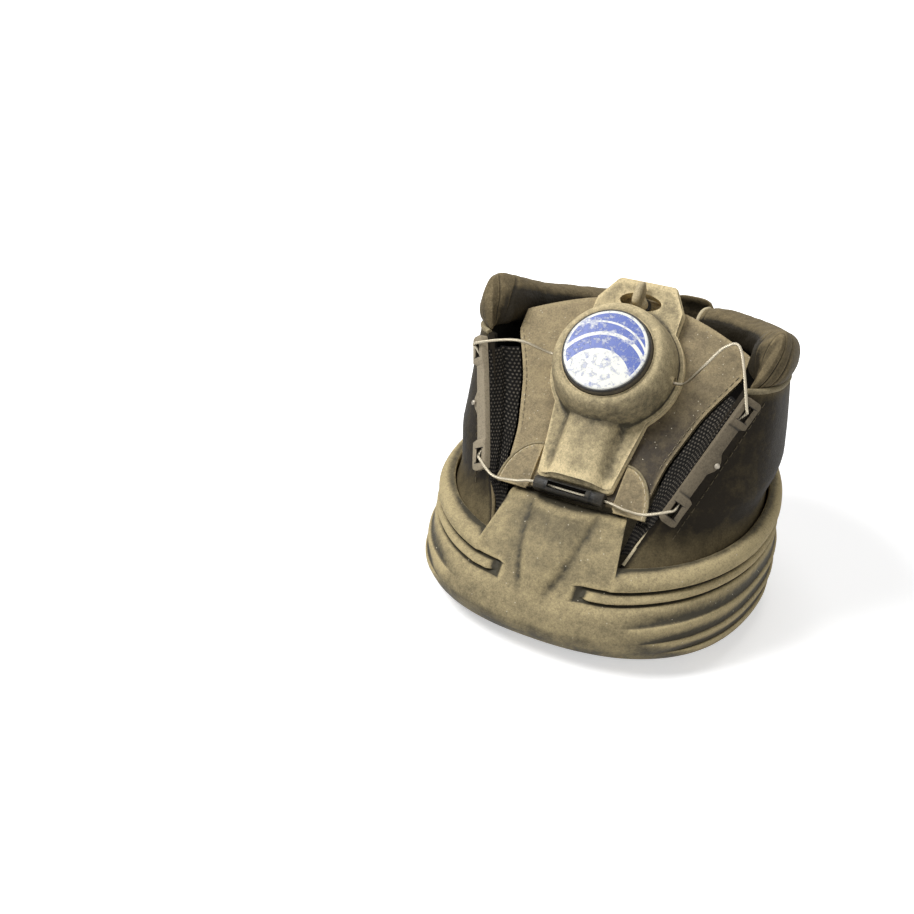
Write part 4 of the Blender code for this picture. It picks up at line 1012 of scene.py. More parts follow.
def cover_edge(turn):
    """Distance from the reel's axis to the cover's outline; turn is 0 down the slope."""
    across = abs(math.sin(turn))
    down = math.cos(turn)
    edge = dome_edge(turn)
    if down > 0:
        reach = reel_station - neck_foot
        spread = (neck_flange_top - neck_flange_foot) / reach
        edge = max(edge, min(reach / down, neck_flange_top / (across + spread * down)))
    else:
        reach = tab_end - reel_station
        slanted = tab_half_width_end + tab_slant * reach
        edge = max(edge, min(reach / max(-down, tiny), slanted / (across - tab_slant * down),
                             tab_half_width_root / max(across, tiny)))
    return edge


def cover_height(x, station):
    """Height of the cover's outer face above the tongue's flat frame."""
    radius = math.hypot(x, station - reel_station)
    turn = math.atan2(x, reel_station - station)
    rim = dome_edge(turn)
    share = (radius - cover_hole_radius) / (rim - cover_hole_radius)
    heights = [mix(*pair, upper_share(turn)) for pair in zip(dome_heights, dome_upper_heights)]
    dome = smooth_value(dome_radius_shares, heights, share) if share < 1 + tiny else 0
    neck = 0
    if station < reel_station:
        rise = mix(neck_rise_foot, neck_rise_top, (station - neck_foot) / (reel_station - neck_foot))
        neck = cover_flange + rise * max(1 - abs(x / neck_half_width) ** neck_power, 0)
    tab = cover_flange + tab_rise * ramp(station, reel_station, slot_station - slot_half_width)
    flat = cover_flange if station < reel_station else tab
    return sum(max(value, 0) ** cover_blend_power for value in (dome, neck, flat)) ** (1 / cover_blend_power)


def polar_on_reel(radius, turn, height):
    """Point round the reel's axis; turn is 0 down the slope."""
    spot = Vector((radius * math.sin(turn), -radius * math.cos(turn), height))
    return tongue_frame(reel_station) @ spot


def slot_cut():
    """Oval cutter for the tab's slot."""
    frame = tongue_frame(slot_station)
    rings = [[frame @ Vector((slot_half_length * math.cos(turn), slot_half_width * math.sin(turn), height))
              for turn in turns(slot_sides)] for height in (-cut_overrun, 2 * cover_flange + tab_rise)]
    return ring_solid(bmesh.new(), rings)


def port_cut(inner, outer):
    """Cutters for the two holes that the lace leaves the reel by."""
    shape = bmesh.new()
    frame = tongue_frame(reel_station, lace_port_height)
    for way in (-1, 1):
        across = frame @ Matrix.Rotation(math.radians(90) * way, 4, "Y")
        start = inner - cut_overrun
        end = outer + cut_overrun
        profile = [(0, start), (lace_port_radius, start), (lace_port_radius, end), (0, end)]
        turned(shape, profile, across, port_sides)
    return shape


def smooth_step(four, share):
    """Point on a smooth curve between the second and third of four points."""
    a, b, c, d = four
    square = share * share
    cube = square * share
    return (b * 2 + (c - a) * share + (a * 2 - b * 5 + c * 4 - d) * square
            + (b * 3 - a - c * 3 + d) * cube) / 2


def rough_offset(point, scale, depth):
    """Small smooth bumps of a used surface."""
    return noise.noise(point * scale) * depth


def round_off(points, times):
    """Cut the corners of an open run of points, ends kept."""
    for _ in range(times):
        cut_points = [points[0]]
        for start, end in zip(points, points[1:]):
            cut_points.append(start.lerp(end, 0.25))
            cut_points.append(start.lerp(end, 0.75))
        cut_points.append(points[-1])
        points = cut_points
    return points


def squared(turn, across_power, rise_power):
    """Cosine and sine of a turn, drawn out towards a rounded box by their powers."""
    cosine, sine = math.cos(turn), math.sin(turn)
    return math.copysign(abs(cosine) ** across_power, cosine), math.copysign(abs(sine) ** rise_power, sine)


def grid_pair(rows, columns, pair_at):
    """Front and back grids of points; pair_at gives both at a share of the rows and one of the columns."""
    grid = [[pair_at(row / rows, column / columns) for column in range(columns + 1)]
            for row in range(rows + 1)]
    return [[[pair[face] for pair in line] for line in grid] for face in (0, 1)]


def new_item(name, shape):
    """Object from a finished bmesh."""
    mesh = bpy.data.meshes.new(name)
    shape.to_mesh(mesh)
    shape.free()
    item = bpy.data.objects.new(name, mesh)
    bpy.context.scene.collection.objects.link(item)
    return item


def store_dust_and_shade(item, values):
    """Keep how much dust lies on each point, with any painted shade and highlight added to it."""
    layer = item.data.attributes.new("settled", "FLOAT", "POINT")
    layer.data.foreach_set("value", values)


def piece(name, shape, body, slot, material, stands_for=(), smooth_angle=50, settle=None):
    """Make a visible piece that rides on a body or, given two points instead, stays unattached where it is made.
    """
    bmesh.ops.recalc_face_normals(shape, faces=shape.faces)
    if shape.calc_volume(signed=True) < 0:
        bmesh.ops.reverse_faces(shape, faces=shape.faces)
    item = new_item(name, shape)
    mesh = item.data
    mesh.shade_smooth()
    mesh.set_sharp_from_angle(angle=math.radians(smooth_angle))
    mesh.materials.append(material)
    if settle:
        store_dust_and_shade(item, [settle(vert.co) for vert in mesh.vertices])
    if stands_for:
        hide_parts(*stands_for)
    if isinstance(body, str):
        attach(item, body)
    else:
        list(body)
        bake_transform(item)
    return item


def cutter(item, name, shape, body="boot"):
    """Cut a piece with a hidden shape that moves with the same body."""
    bmesh.ops.recalc_face_normals(shape, faces=shape.faces)
    tool = new_item(name, shape)
    tool.hide_render = True
    tool.display_type = "WIRE"
    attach(tool, body)
    boolean = item.modifiers.new(name, "BOOLEAN")
    boolean.operation = "DIFFERENCE"
    boolean.object = tool


def sweep(path, radius, sides=8, shape=None):
    """Closed tube along a path, in a new shape or added to one."""
    rings = []
    last = len(path) - 1
    side_way = None
    for index, spot in enumerate(path):
        along = (path[min(index + 1, last)] - path[max(index - 1, 0)]).normalized()
        if side_way is None:
            guess = Vector((0, 0, 1))
            if abs(guess.dot(along)) > parallel_limit:
                guess = Vector((1, 0, 0))
            side_way = along.cross(guess).normalized()
        else:
            side_way = (side_way - along * side_way.dot(along)).normalized()
        lift = along.cross(side_way)
        rings.append([spot + side_way * radius * math.cos(turn) + lift * radius * math.sin(turn)
                      for turn in turns(sides)])
    return ring_solid(bmesh.new() if shape is None else shape, rings)


def stitches(name, spots, outs, body, slot, material, length, space, radius):
    """Row of thread stitches over a run of points on a surface."""
    shape = bmesh.new()
    travelled = 0
    marks = []
    for start, end, out in zip(spots, spots[1:], outs):
        span = (end - start).length
        while travelled < span:
            marks.append((start.lerp(end, travelled / span), (end - start).normalized(), out))
            travelled += length + space
        travelled -= span
    for spot, along, out in marks[:-1]:
        path = []
        for step in range(stitch_steps + 1):
            share = step / stitch_steps
            rise = radius * (math.sin(math.pi * share) * stitch_arch - stitch_sink)
            path.append(spot + along * length * share + out * rise)
        sweep(path, radius, stitch_sides, shape)
    piece(name, shape, body, slot, material)


def in_lip_dust(point):
    """Dust that settles on the leather just above the shell's lip."""
    reach = heel_reach + toe_reach
    share = min(max((point.y + toe_reach) / reach, 0), 1)
    lip = mix(lip_front_height, lip_heel_height, share)
    return 1 - ramp(point.z, lip - leather_dust_below, lip + leather_dust_above)


def shell_settle(point):
    """Dust on the shell: thin on the toe and the middle of the shield, thick on the lip."""
    lip = ramp(point.z, *lip_dust_heights) * ramp(abs(point.x), *lip_dust_widths)
    ahead = ramp(-point.y, *toe_reaches)
    shield = ahead * (1 - ramp(abs(point.x), *shield_bare_widths)) * ramp(point.z, *shield_bare_heights)
    toe = ahead * (1 - ramp(point.z, *toe_bare_heights)) * (smudge_middle + noise.noise(point * smudge_scale))
    level = foot_dust + wall_dust * ramp(point.z, *wall_dust_heights)
    return level + lip_dust * lip - shield_bareness * shield - toe_bareness * toe


def quarter_settle(point):
    """Dust just above the shell's lip, and none on the cut edge beside the mesh."""
    edge = 1 - ramp(abs(point.x) - edge_x(point.z), *cut_edge_widths)
    if point.y > 0:
        edge = 0
    return mix(in_lip_dust(point), cut_edge_dust, edge)


def shell_profile(angle):
    """Section of the shell as (height, out, outside share) triples."""
    fold = fold_angle(angle)
    lip = lip_height(fold)
    on_shield = fold <= shield_edge_angle
    top = shield_top_height if on_shield else lip
    rows = [(0, -ground_edge_round), (wall_foot_share * lip, 0)]
    for share, start in zip(rib_shares, rib_start_angles):
        rise = rib_rise * rib_boldness * ramp(fold, start, start + rib_fade_angle)
        rows += [(share * lip, rise), ((share + rib_ledge_share) * lip, -rise)]
    slit_full_angle = slit_start_angle + slit_fade_angle
    groove = -slit_depth * slit_boldness * ramp(fold, slit_start_angle, slit_full_angle)
    wedge = groove * (1 - ramp(fold, slit_full_angle, slit_full_angle + slit_fade_angle))
    flank = slit_flank_share * slit_flank_steepness
    (low_start, low_end), (high_start, high_end) = slit_groove_shares
    rows += [(share * lip, out) for share, out in (
        (low_start, 0), (low_start + flank, groove), (low_end - flank, groove), (low_end, wedge),
        (high_start, wedge), (high_start + flank, groove), (high_end - flank, groove), (high_end, 0))]
    last = rows[-1][0]
    for index, (share, out) in enumerate(zip(bead_shares, bead_out_shares)):
        if on_shield:
            rows.append((mix(last, top, (index + 1) / len(bead_shares)), 0))
        else:
            rows.append((share * lip, out * lip_rise))
    wall = wall_thickness(fold)
    section = [Vector((height, out, 1)) for height, out in rows]
    section.append(Vector((top, -wall * bead_inner_share, 0)))
    for share in inner_row_shares:
        section.append(Vector((mix(shell_floor_height, top - ground_edge_round, share), -wall, 0)))
    return round_off(section, fine_rounding)


def build_shell(looks):
    """Rubber shell with rounded ribs, slit and lip; its grooves get painted shade and its crests a painted
    highlight.
    """
    half = spaced(toe_angle, shield_edge_angle, fine_shield_columns)
    half += spaced(slot_angle, heel_angle, fine_wall_columns)
    columns = []
    dust = []
    for angle in half + [2 * heel_angle - angle for angle in reversed(half[1:-1])]:
        fold = fold_angle(angle)
        columns.append([])
        dust.append([])
        for height, out, outside in shell_profile(angle):
            spot = form_point(angle, height, out + boss(angle, height) * outside - recess(fold, height))
            relief = 0
            if outside and height > ground_edge_round:
                spot += form_normal(angle, height) * rough_offset(spot, shell_uneven_scale, shell_unevenness)
                relief = min(max(out / slit_depth, -relief_low), relief_high)
            columns[-1].append(spot)
            # Dust, plus painted shade in the grooves and a painted highlight on the crests
            dust[-1].append(shell_settle(spot) + relief * (groove_painted_shade if relief < 0 else crest_painted_highlight))
    item = piece("shell_skin", ring_solid(bmesh.new(), list(zip(*columns))), "boot", "shell_rubber",
                 looks["shell"], ["outer_shell"])
    store_dust_and_shade(item, [mark for ring in zip(*dust) for mark in ring])
    cutter(item, "tread_cutter", tread_cuts())


def grid_piece(name, front, back, body, slot, material, stands_for=(), settle=None, uv=None):
    """Closed sheet between two grids of points, with its place on the sheet kept as UV."""
    item = piece(name, sheet_solid(bmesh.new(), front, back), body, slot, material, stands_for, settle=settle)
    if uv:
        rows = len(front)
        columns = len(front[0])
        across, up = uv
        layer = item.data.uv_layers.new(name="sheet")
        for loop in item.data.loops:
            row, column = divmod(loop.vertex_index % (rows * columns), columns)
            layer.data[loop.index].uv = (across * row / (rows - 1), up * column / (columns - 1))
    return item


def fine_quarter_grid(side, depth, columns, wrinkle, front_angle=0, top_gap=0):
    """Finer grid on a quarter's surface, set in by a depth, an angle and a top gap."""
    grid = []
    front_top = edge_angle(seam_front_height) + front_angle
    for row in range(quarter_rows + 1):
        along = row / quarter_rows
        top = seam_height(mix(front_top, heel_join_angle, along)) - top_gap
        grid.append([])
        for column in range(columns + 1):
            height = mix(quarter_foot_height, top, column / columns)
            fold = mix(edge_angle(height) + front_angle, heel_join_angle, along)
            spot = sided(form_point(fold, height, quarter_out(fold, height) - depth), side)
            way = sided(form_normal(max(fold, steepest_angle), height), side)
            coarse = rough_offset(spot, wrinkle_scale, wrinkle)
            fine = rough_offset(spot, fine_wrinkle_scale, wrinkle * fine_wrinkle_share)
            grid[-1].append(spot + way * (coarse + fine))
    return grid


def build_uppers(word, side, looks):
    """Leather quarter and its lining on one side."""
    outer = fine_quarter_grid(side, 0, quarter_columns, quarter_wrinkle)
    inner = fine_quarter_grid(side, quarter_thickness, quarter_columns, quarter_wrinkle)
    grid_piece("quarter_leather_%s_panel" % word, outer, inner, "boot", "quarter_leather_" + word,
               looks["quarter"], ["quarter_" + word], settle=quarter_settle)
    front = quarter_thickness + lining_gap
    inset = (lining_front_angle, lining_gap)
    outer = fine_quarter_grid(side, front, lining_columns, quarter_wrinkle, *inset)
    inner = fine_quarter_grid(side, front + lining_thickness, lining_columns, lining_wrinkle, *inset)
    item = grid_piece("lining_%s_cloth" % word, outer, inner, "boot", "lining_fabric_" + word, looks["lining"],
                      ["lining_" + word])
    "quarter_leather_%s_panel" % word


def collar_ring(along, side, swell):
    """Section of the padded collar at one place, creased on its inside."""
    centre = collar_spot(along, 0, 0)
    ring = []
    for turn in turns(collar_points):
        across, rise = squared(turn, 2 / collar_fullness, 2 / collar_fullness)
        spot = collar_spot(along, across * swell, rise * mix(1, swell, 0.5))
        crease = collar_inner_crease * max(-across, 0) + collar_crease
        way = (spot - centre).normalized()
        spot += way * (rough_offset(spot, collar_crease_scale, crease)
                       + rough_offset(spot, collar_fine_scale, crease * collar_fine_share))
        ring.append(sided(spot, side))
    return ring


def build_collar_roll(word, side, looks):
    """Padded collar with a flat bound front between two seams, puckers beside them and a piped rear end."""
    slot = "collar_leather_" + word
    rings = []
    for station in range(collar_stations + 1):
        along = (station / collar_stations) ** collar_station_power
        swell = 1.0 - collar_end_pinch * math.exp(-along / collar_seam_width)
        for seam in collar_seams:
            away = (along - seam) / collar_seam_width
            swell -= collar_seam_pinch * math.exp(-away * away)
        rings.append(collar_ring(along, side, swell))
    shape = ring_solid(bmesh.new(), rings)
    for vert in shape.verts:
        vert.co += vert.co.normalized() * noise.noise(vert.co * pucker_scale) * pucker_depth
    item = piece("collar_%s_roll" % word, shape, "boot", slot, looks["collar"], ["collar_" + word],
                 smooth_angle=70)
    # Dust on the roll, less towards its underside; the inner lower quarter towards the back is painted dark as
    # shade
    marks = []
    for station in range(collar_stations + 1):
        behind = ramp(station / collar_stations, *collar_shade_run)
        for turn in turns(collar_points):
            inner = ramp(-math.cos(turn), *collar_shade_across) * ramp(-math.sin(turn), *collar_shade_rise)
            marks.append(collar_dust + collar_dust * math.sin(turn) - collar_inner_shade * inner * behind)
    store_dust_and_shade(item, marks)
    ring = collar_ring(rear_piping_place, side, rear_piping_swell)
    run = [ring[index % collar_points] for index in range(rear_piping_start, collar_points // 2 + rear_piping_end)]
    piece("collar_%s_piping_rear" % word, sweep(run, rear_piping_radius), "boot", slot, looks["binding"])
    run = []
    for fold in spaced(collar_foot_angle + seam_piping_start, collar_back_angle, seam_piping_points):
        height = seam_height(fold) + seat_gap / 2
        run.append(sided(form_point(fold, height, quarter_out(fold, height) - seam_piping_sink), side))
    piece("collar_%s_seam_piping" % word, sweep(run, seam_piping_radius, cord_sides), "boot", slot,
          looks["piping"])


def build_heel_band(looks):
    """Leather band over the join at the back, with rounded top corners."""
    def pair_at(share, rise):
        x = mix(-heel_strip_half_width, heel_strip_half_width, share)
        corner = 1 - (1 - (x / heel_strip_half_width) ** heel_corner_power) ** 0.5
        top = heel_strip_top_height - heel_corner_drop * corner
        height = mix(lip_heel_height + heel_strip_clearance, top, rise)
        turn = math.degrees(math.acos(abs(x / form_extents(height, 0)[0]) ** (heel_fullness / 2)))
        out = quarter_out(turn, height) + heel_strip_gap
        out = mix(out, heel_strip_out, ramp(height, seam_heel_height - quarter_foot_height / 2, seam_heel_height))
        out -= heel_top_tuck * ramp(height, heel_strip_top_height - heel_top_tuck_height, heel_strip_top_height)
        pair = []
        for shift in (heel_strip_thickness, 0):
            half, _, back = form_extents(height, out + shift)
            reach = back * (1 - abs(x / half) ** heel_fullness) ** (1 / heel_fullness)
            pair.append(Vector((x, reach + form_shift, height)))
        return pair

    grid_piece("heel_band", *grid_pair(*heel_grid, pair_at), "boot", "heel_leather", looks["collar"],
               ["heel_strip"], settle=in_lip_dust)


def on_tongue_normal():
    """Direction out of the tongue."""
    return tongue_frame().to_3x3() @ Vector((0, 0, 1))


def tongue_place(share, rise, foot, margin):
    """Share across from -1 to 1, place across and station on the tongue, inside a margin."""
    across = mix(-1, 1, share)
    top = tongue_top - margin - tongue_corner_drop * abs(across) ** tongue_corner_power
    station = mix(foot, top, rise)
    return across, across * (tongue_half_width(station) - margin), station


def build_tongue_leather(looks):
    """Leather tongue with a soft pad behind it, sewn in channels."""
    normal = on_tongue_normal()
    front = tongue_thickness + seat_gap

    def leather_at(share, rise):
        _, x, station = tongue_place(share, rise, tongue_foot, 0)
        spots = [on_tongue(x, station, -depth) for depth in (0, tongue_thickness)]
        return [spot + normal * rough_offset(spot, tongue_rough_scale, tongue_roughness) for spot in spots]

    def pad_at(share, rise):
        across, x, station = tongue_place(share, rise, padding_foot, padding_margin)
        crown = (1 - across ** pad_edge_power) * (1 - (2 * rise - 1) ** pad_edge_power)
        depth = front + mix(pad_edge_thickness, tongue_padding_thickness, crown ** 0.5)
        shift, pitch, width = pad_channels
        away = ((station * 1000 + shift) % pitch - pitch / 2) / width
        channel = pad_channel_depth * math.exp(-away ** 2)
        spot = on_tongue(x, station, -(depth - channel * crown))
        return on_tongue(x, station, -front), spot + normal * rough_offset(spot, pad_rough_scale, pad_roughness)

    grid_piece("tongue_panel", *grid_pair(*tongue_grid, leather_at), "tongue", "tongue_leather", looks["tongue"],
               ["tongue"], settle=tongue_dust_and_shading)
    pad = grid_piece("tongue_pad", *grid_pair(*pad_grid, pad_at), "tongue", "tongue_foam", looks["lining"],
                     ["tongue_padding"])


def patch_arc(side, count, inset, lift):
    """Run of points along the round edge of a half-moon patch, set in and lifted."""
    run = []
    for step in range(count):
        turn = math.radians(90) * step / (count - 1)
        x = patch_inner_x + (patch_width - inset) * math.cos(turn)
        station = patch_foot + (patch_height - inset) * math.sin(turn)
        run.append(on_tongue(side * x, station, seat_gap + patch_thickness + lift))
    return run


def build_half_moon(word, side, looks):
    """Half-moon patch with a rolled edge."""
    def pair_at(share, column):
        turn = math.radians(90) * share
        reach = mix(patch_centre_share, 1, column)
        x = patch_inner_x + patch_width * math.cos(turn) * reach
        station = patch_foot + patch_height * math.sin(turn) * reach
        puff = patch_puff * math.sin(math.pi * min(reach, 1))
        return [on_tongue(side * x, station, height) for height in (seat_gap + patch_thickness + puff, seat_gap)]

    slot = "patch_leather_" + word
    grid_piece("half_moon_" + word, *grid_pair(*patch_grid, pair_at), "tongue", slot, looks["patch"],
               ["tongue_patch_" + word])
    edge = sweep(patch_arc(side, patch_edge_points, 0, 0), patch_edge_radius)
    piece("half_moon_%s_edge" % word, edge, "tongue", slot, looks["piping"])


def tongue_dust_and_shading(point):
    """Dust on the tongue, thick along its top; its left side is painted lighter as light, and low on the right
    beside the neck it is painted darker as shade.
    """
    left = ramp(-point.x, *tongue_lit_widths)
    high = ramp(point.z, *tongue_top_heights)
    bare = ramp(point.x, *tongue_shade_widths) * (1 - ramp(point.z, *tongue_shade_heights))
    return tongue_dust + tongue_left_light * max(left, high * tongue_top_share) - tongue_shade * bare


def build_quarter_binding(word, side, looks):
    """Pale cut edge of a quarter's leather between the slot's foot and the guide."""
    sink = -quarter_thickness * binding_sink_share
    heights = spaced(edge_foot_height + binding_start, guide_low_height + binding_end, binding_points)
    run = [sided(behind_edge(height, binding_away, sink, sink)[1], side) for height in heights]
    piece("quarter_binding_" + word, sweep(run, binding_radius, cord_sides), "boot", "quarter_leather_" + word,
          looks["binding" if side > 0 else "collar"])


def build_mesh_gusset(word, side, looks):
    """Folded band of coarse mesh beside the tongue; the left one keeps a sharper crease."""
    def pair_at(across, rise):
        height = mix(gusset_foot_height, gusset_top_height, rise)
        near, far = gusset_edges(height)
        fold = edge_angle(height)
        beside = (form_point(fold + 1, height) - form_point(fold, height)).normalized()
        lift = form_normal(fold, height) * gusset_lift + beside * gusset_overlap
        far += lift * ramp(height, *gusset_lift_heights)
        span = far - near
        inward = Vector((-span.y, span.x, 0))
        sag = mix(gusset_sag_share, gusset_top_sag_share,
                  ramp(height, gusset_fold_start, gusset_top_height)) * ramp(1 - across, *gusset_free_shares)
        away = (across - gusset_crease_share) / gusset_crease_width
        crease = gusset_creases[side] * math.exp(-away ** 2) * ramp(height, *gusset_crease_heights)
        back = near.lerp(far, across) + inward * sag * math.sin(math.pi * across)
        back += inward.normalized() * crease
        return sided(back - inward.normalized() * gusset_thickness, side), sided(back, side)

    low = gusset_edges(gusset_bend_low)[1]
    along = (gusset_edges(gusset_bend_high)[1] - low).normalized()
    across = gusset_edges(gusset_bend_middle)[0] - low
    across -= along * across.dot(along)
    bend = [sided(low + across * share, side) for share in gusset_bend_shares]
    item = grid_piece("gusset_%s_mesh" % word, *grid_pair(*gusset_grid, pair_at), bend, "gusset_mesh_" + word,
                      looks["mesh"], ["gusset_" + word], uv=gusset_weave)
    "quarter_leather_%s_panel" % word


def build_reel_hood(looks):
    """Rubber cover of the reel with rounded edges."""
    columns = []
    for turn in turns(cover_turns):
        across = math.sin(turn)
        down = math.cos(turn)
        rim = dome_edge(turn)
        outer = max(cover_edge(turn), rim + cover_margin)

        def on_cover(radius, sink, settle):
            x = radius * across
            station = reel_station - radius * down
            height = mix(cover_height(x, station), seat_gap, sink)
            return polar_on_reel(radius, turn, height - tongue_drop(x, station) * settle)

        column = [polar_on_reel(cover_hole_radius, turn, cover_cavity_top)]
        radii = [mix(cover_hole_radius, rim, step / dome_steps) for step in range(dome_steps + 1)]
        for radius in radii + [mix(rim, outer, share) for share in cover_flat_shares]:
            spot = on_cover(radius, 0, ramp(radius, rim, rim + cover_settle))
            column.append(spot + on_tongue_normal() * rough_offset(spot, cover_rough_scale, cover_roughness))
        column += [on_cover(outer * share, sink, 1) for share, sink in cover_rim]
        column += [on_tongue(radius * across, reel_station - radius * down, seat_gap)
                   for radius in (outer, cover_cavity_radius)]
        columns.append(column + [polar_on_reel(cover_cavity_radius, turn, cover_cavity_top)])
    item = piece("reel_hood", ring_solid(bmesh.new(), list(zip(*columns)), closed=True), "tongue",
                 "cover_rubber", looks["cover"], ["reel_cover"], smooth_angle=40)
    cutter(item, "hood_slot_cutter", slot_cut(), "tongue")
    cutter(item, "hood_port_cutter", port_cut(cover_cavity_radius, dome_radius), "tongue")


def build_dial_knob(looks):
    """Dial with a rounded rim, and its printed face."""
    seat = dial_face_radius + dial_face_clearance
    cut = dial_edge * edge_middle
    profile = [(0, dial_face_seat), (seat, dial_face_seat), (seat, dial_top - dial_seat_drop),
               (seat + dial_seat_flare, dial_top), (dial_radius - dial_edge, dial_top),
               (dial_radius - cut, dial_top - cut), (dial_radius, dial_top - dial_edge),
               (dial_radius, dial_foot), (dial_bore_radius, dial_foot),
               (dial_bore_radius, dial_web_top), (dial_cavity_radius, dial_web_top),
               (dial_cavity_radius, dial_cavity_top), (0, dial_cavity_top)]
    frame = tongue_frame(reel_station)
    knob = turned(bmesh.new(), profile, frame, dial_sides)
    piece("dial_knob", knob, "dial", "dial_plastic", looks["dial"], ["dial"], smooth_angle=30)
    foot = dial_face_seat + dial_face_clearance
    top = foot + dial_face_thickness
    flat_radius = dial_face_radius - face_edge_width
    profile = [(0, foot), (dial_face_radius, foot), (dial_face_radius, top - face_edge_height), (flat_radius, top)]
    for step in range(1, face_crown_steps + 1):
        share = 1 - step / face_crown_steps
        profile.append((flat_radius * share, top + dial_face_crown * (1 - share * share)))
    item = piece("dial_disc", turned(bmesh.new(), profile, frame, dial_sides), "dial", "dial_face_print",
                 looks["face"], ["dial_face"], smooth_angle=30)
    layer = item.data.uv_layers.new(name="disc")
    back = frame.inverted()
    for loop in item.data.loops:
        spot = back @ item.data.vertices[loop.vertex_index].co
        layer.data[loop.index].uv = (0.5 + spot.x / (2 * dial_face_radius), 0.5 + spot.y / (2 * dial_face_radius))


def build_wing(looks):
    """Turn button: a thick rounded wing on a stem."""
    frame = tongue_frame(slot_station)
    rings = []
    for level in range(wing_levels + 1):
        rise = level / wing_levels
        height = mix(wing_foot, wing_foot + wing_height, rise)
        over = max(rise - wing_crown_start, 0) / (1 - wing_crown_start)
        crown = math.sqrt(max(1 - over ** 2, wing_crown_least))
        pull = mix(crown, 1, wing_crown_pull)
        swell = mix(wing_reach_share, 1, math.sin(math.pi * min(rise * wing_swell_rise, 1)))
        high = wing_high_reach * swell * pull
        low = wing_low_reach * pull
        thick = wing_thickness * wing_thickness_share * mix(wing_foot_share, 1, rise) * crown
        ring = []
        for turn in turns(box_sides):
            across, along = squared(turn, *wing_powers)
            ring.append(frame @ Vector((thick * across, (high if math.sin(turn) > 0 else low) * along, height)))
        rings.append(ring)
    piece("button_wing", ring_solid(bmesh.new(), rings), "turn_button", "button_plastic", looks["button"],
          ["turn_button"], smooth_angle=40)
    radius = button_stem_radius - stem_gap
    foot = button_stem_foot + stem_foot_gap
    top = wing_foot + stem_gap
    width, height = stem_edge
    stem = [(0, foot), (radius, foot), (radius, wing_foot - height), (radius - width, top), (0, top)]
    piece("button_stem", turned(bmesh.new(), stem, frame, stem_sides), "turn_button", "button_plastic",
          looks["button"])


def build_tube(looks):
    """Tube for the lace at the foot of the tongue, with a window on its front."""
    frame = tongue_frame(tube_foot + tube_height / 2, seat_gap + tube_thickness / 2)
    rings = []
    for reach, scale in [(-reach, scale) for reach, scale in tube_ends] + list(tube_ends[::-1]):
        ring = []
        for turn in turns(box_sides):
            y, z = squared(turn, tube_power, tube_power)
            ring.append(frame @ Vector((reach * tube_half_length, y * tube_height / 2 * scale,
                                        z * tube_thickness / 2 * scale)))
        rings.append(ring)
    item = piece("lace_tube", ring_solid(bmesh.new(), rings), "tongue", "tube_plastic", looks["tube"],
                 ["lower_guide"], smooth_angle=35)
    length = tube_half_length + cut_overrun
    across = frame @ Matrix.Rotation(math.radians(90), 4, "Y")
    bore = [(0, -length), (tube_bore_radius, -length), (tube_bore_radius, length), (0, length)]
    cutter(item, "tube_bore_cutter", turned(bmesh.new(), bore, across, tube_bore_sides), "tongue")
    window = frame @ Matrix.Translation((tube_window_offset, 0, tube_thickness / 2))
    window_size = (2 * tube_window_half_length, tube_window_height, tube_thickness)
    cutter(item, "tube_window_cutter", block(bmesh.new(), window_size, window), "tongue")


def guide_settle(point):
    """Dust on the guides: pale on the left one, thin on the right one."""
    return guide_left_dust if point.x < 0 else guide_right_dust


def behind_edge(height, away, lift, measured_lift=0):
    """Angle and point on the right-hand quarter, a length behind its front edge and lifted off it."""
    fold = edge_angle(height)
    ahead = form_point(fold + angle_step, height, quarter_out(fold + angle_step, height) + measured_lift)
    start = form_point(fold, height, quarter_out(fold, height) + measured_lift)
    fold += away / (ahead - start).length
    return fold, form_point(fold, height, quarter_out(fold, height) + lift)


def guide_frame(height, side, across=0, out=0):
    """Frame on a side lace guide: X across it, Y along it and up, Z out of the leather."""
    middle = guide_edge_inset + guide_width / 2
    fold, origin = behind_edge(height, middle, guide_seat)
    above = behind_edge(height + guide_edge_inset, middle, guide_seat)[1]
    below = behind_edge(height - guide_edge_inset, middle, guide_seat)[1]
    along = (above - below).normalized()
    before, after = fold - angle_step, fold + angle_step
    beside = form_point(after, height, quarter_out(after, height))
    beside -= form_point(before, height, quarter_out(before, height))
    outward = beside.cross(along).normalized()
    width_way = along.cross(outward).normalized()
    origin = origin + width_way * across + outward * out
    return framed([sided(vector, side) for vector in (width_way, along, outward, origin)])


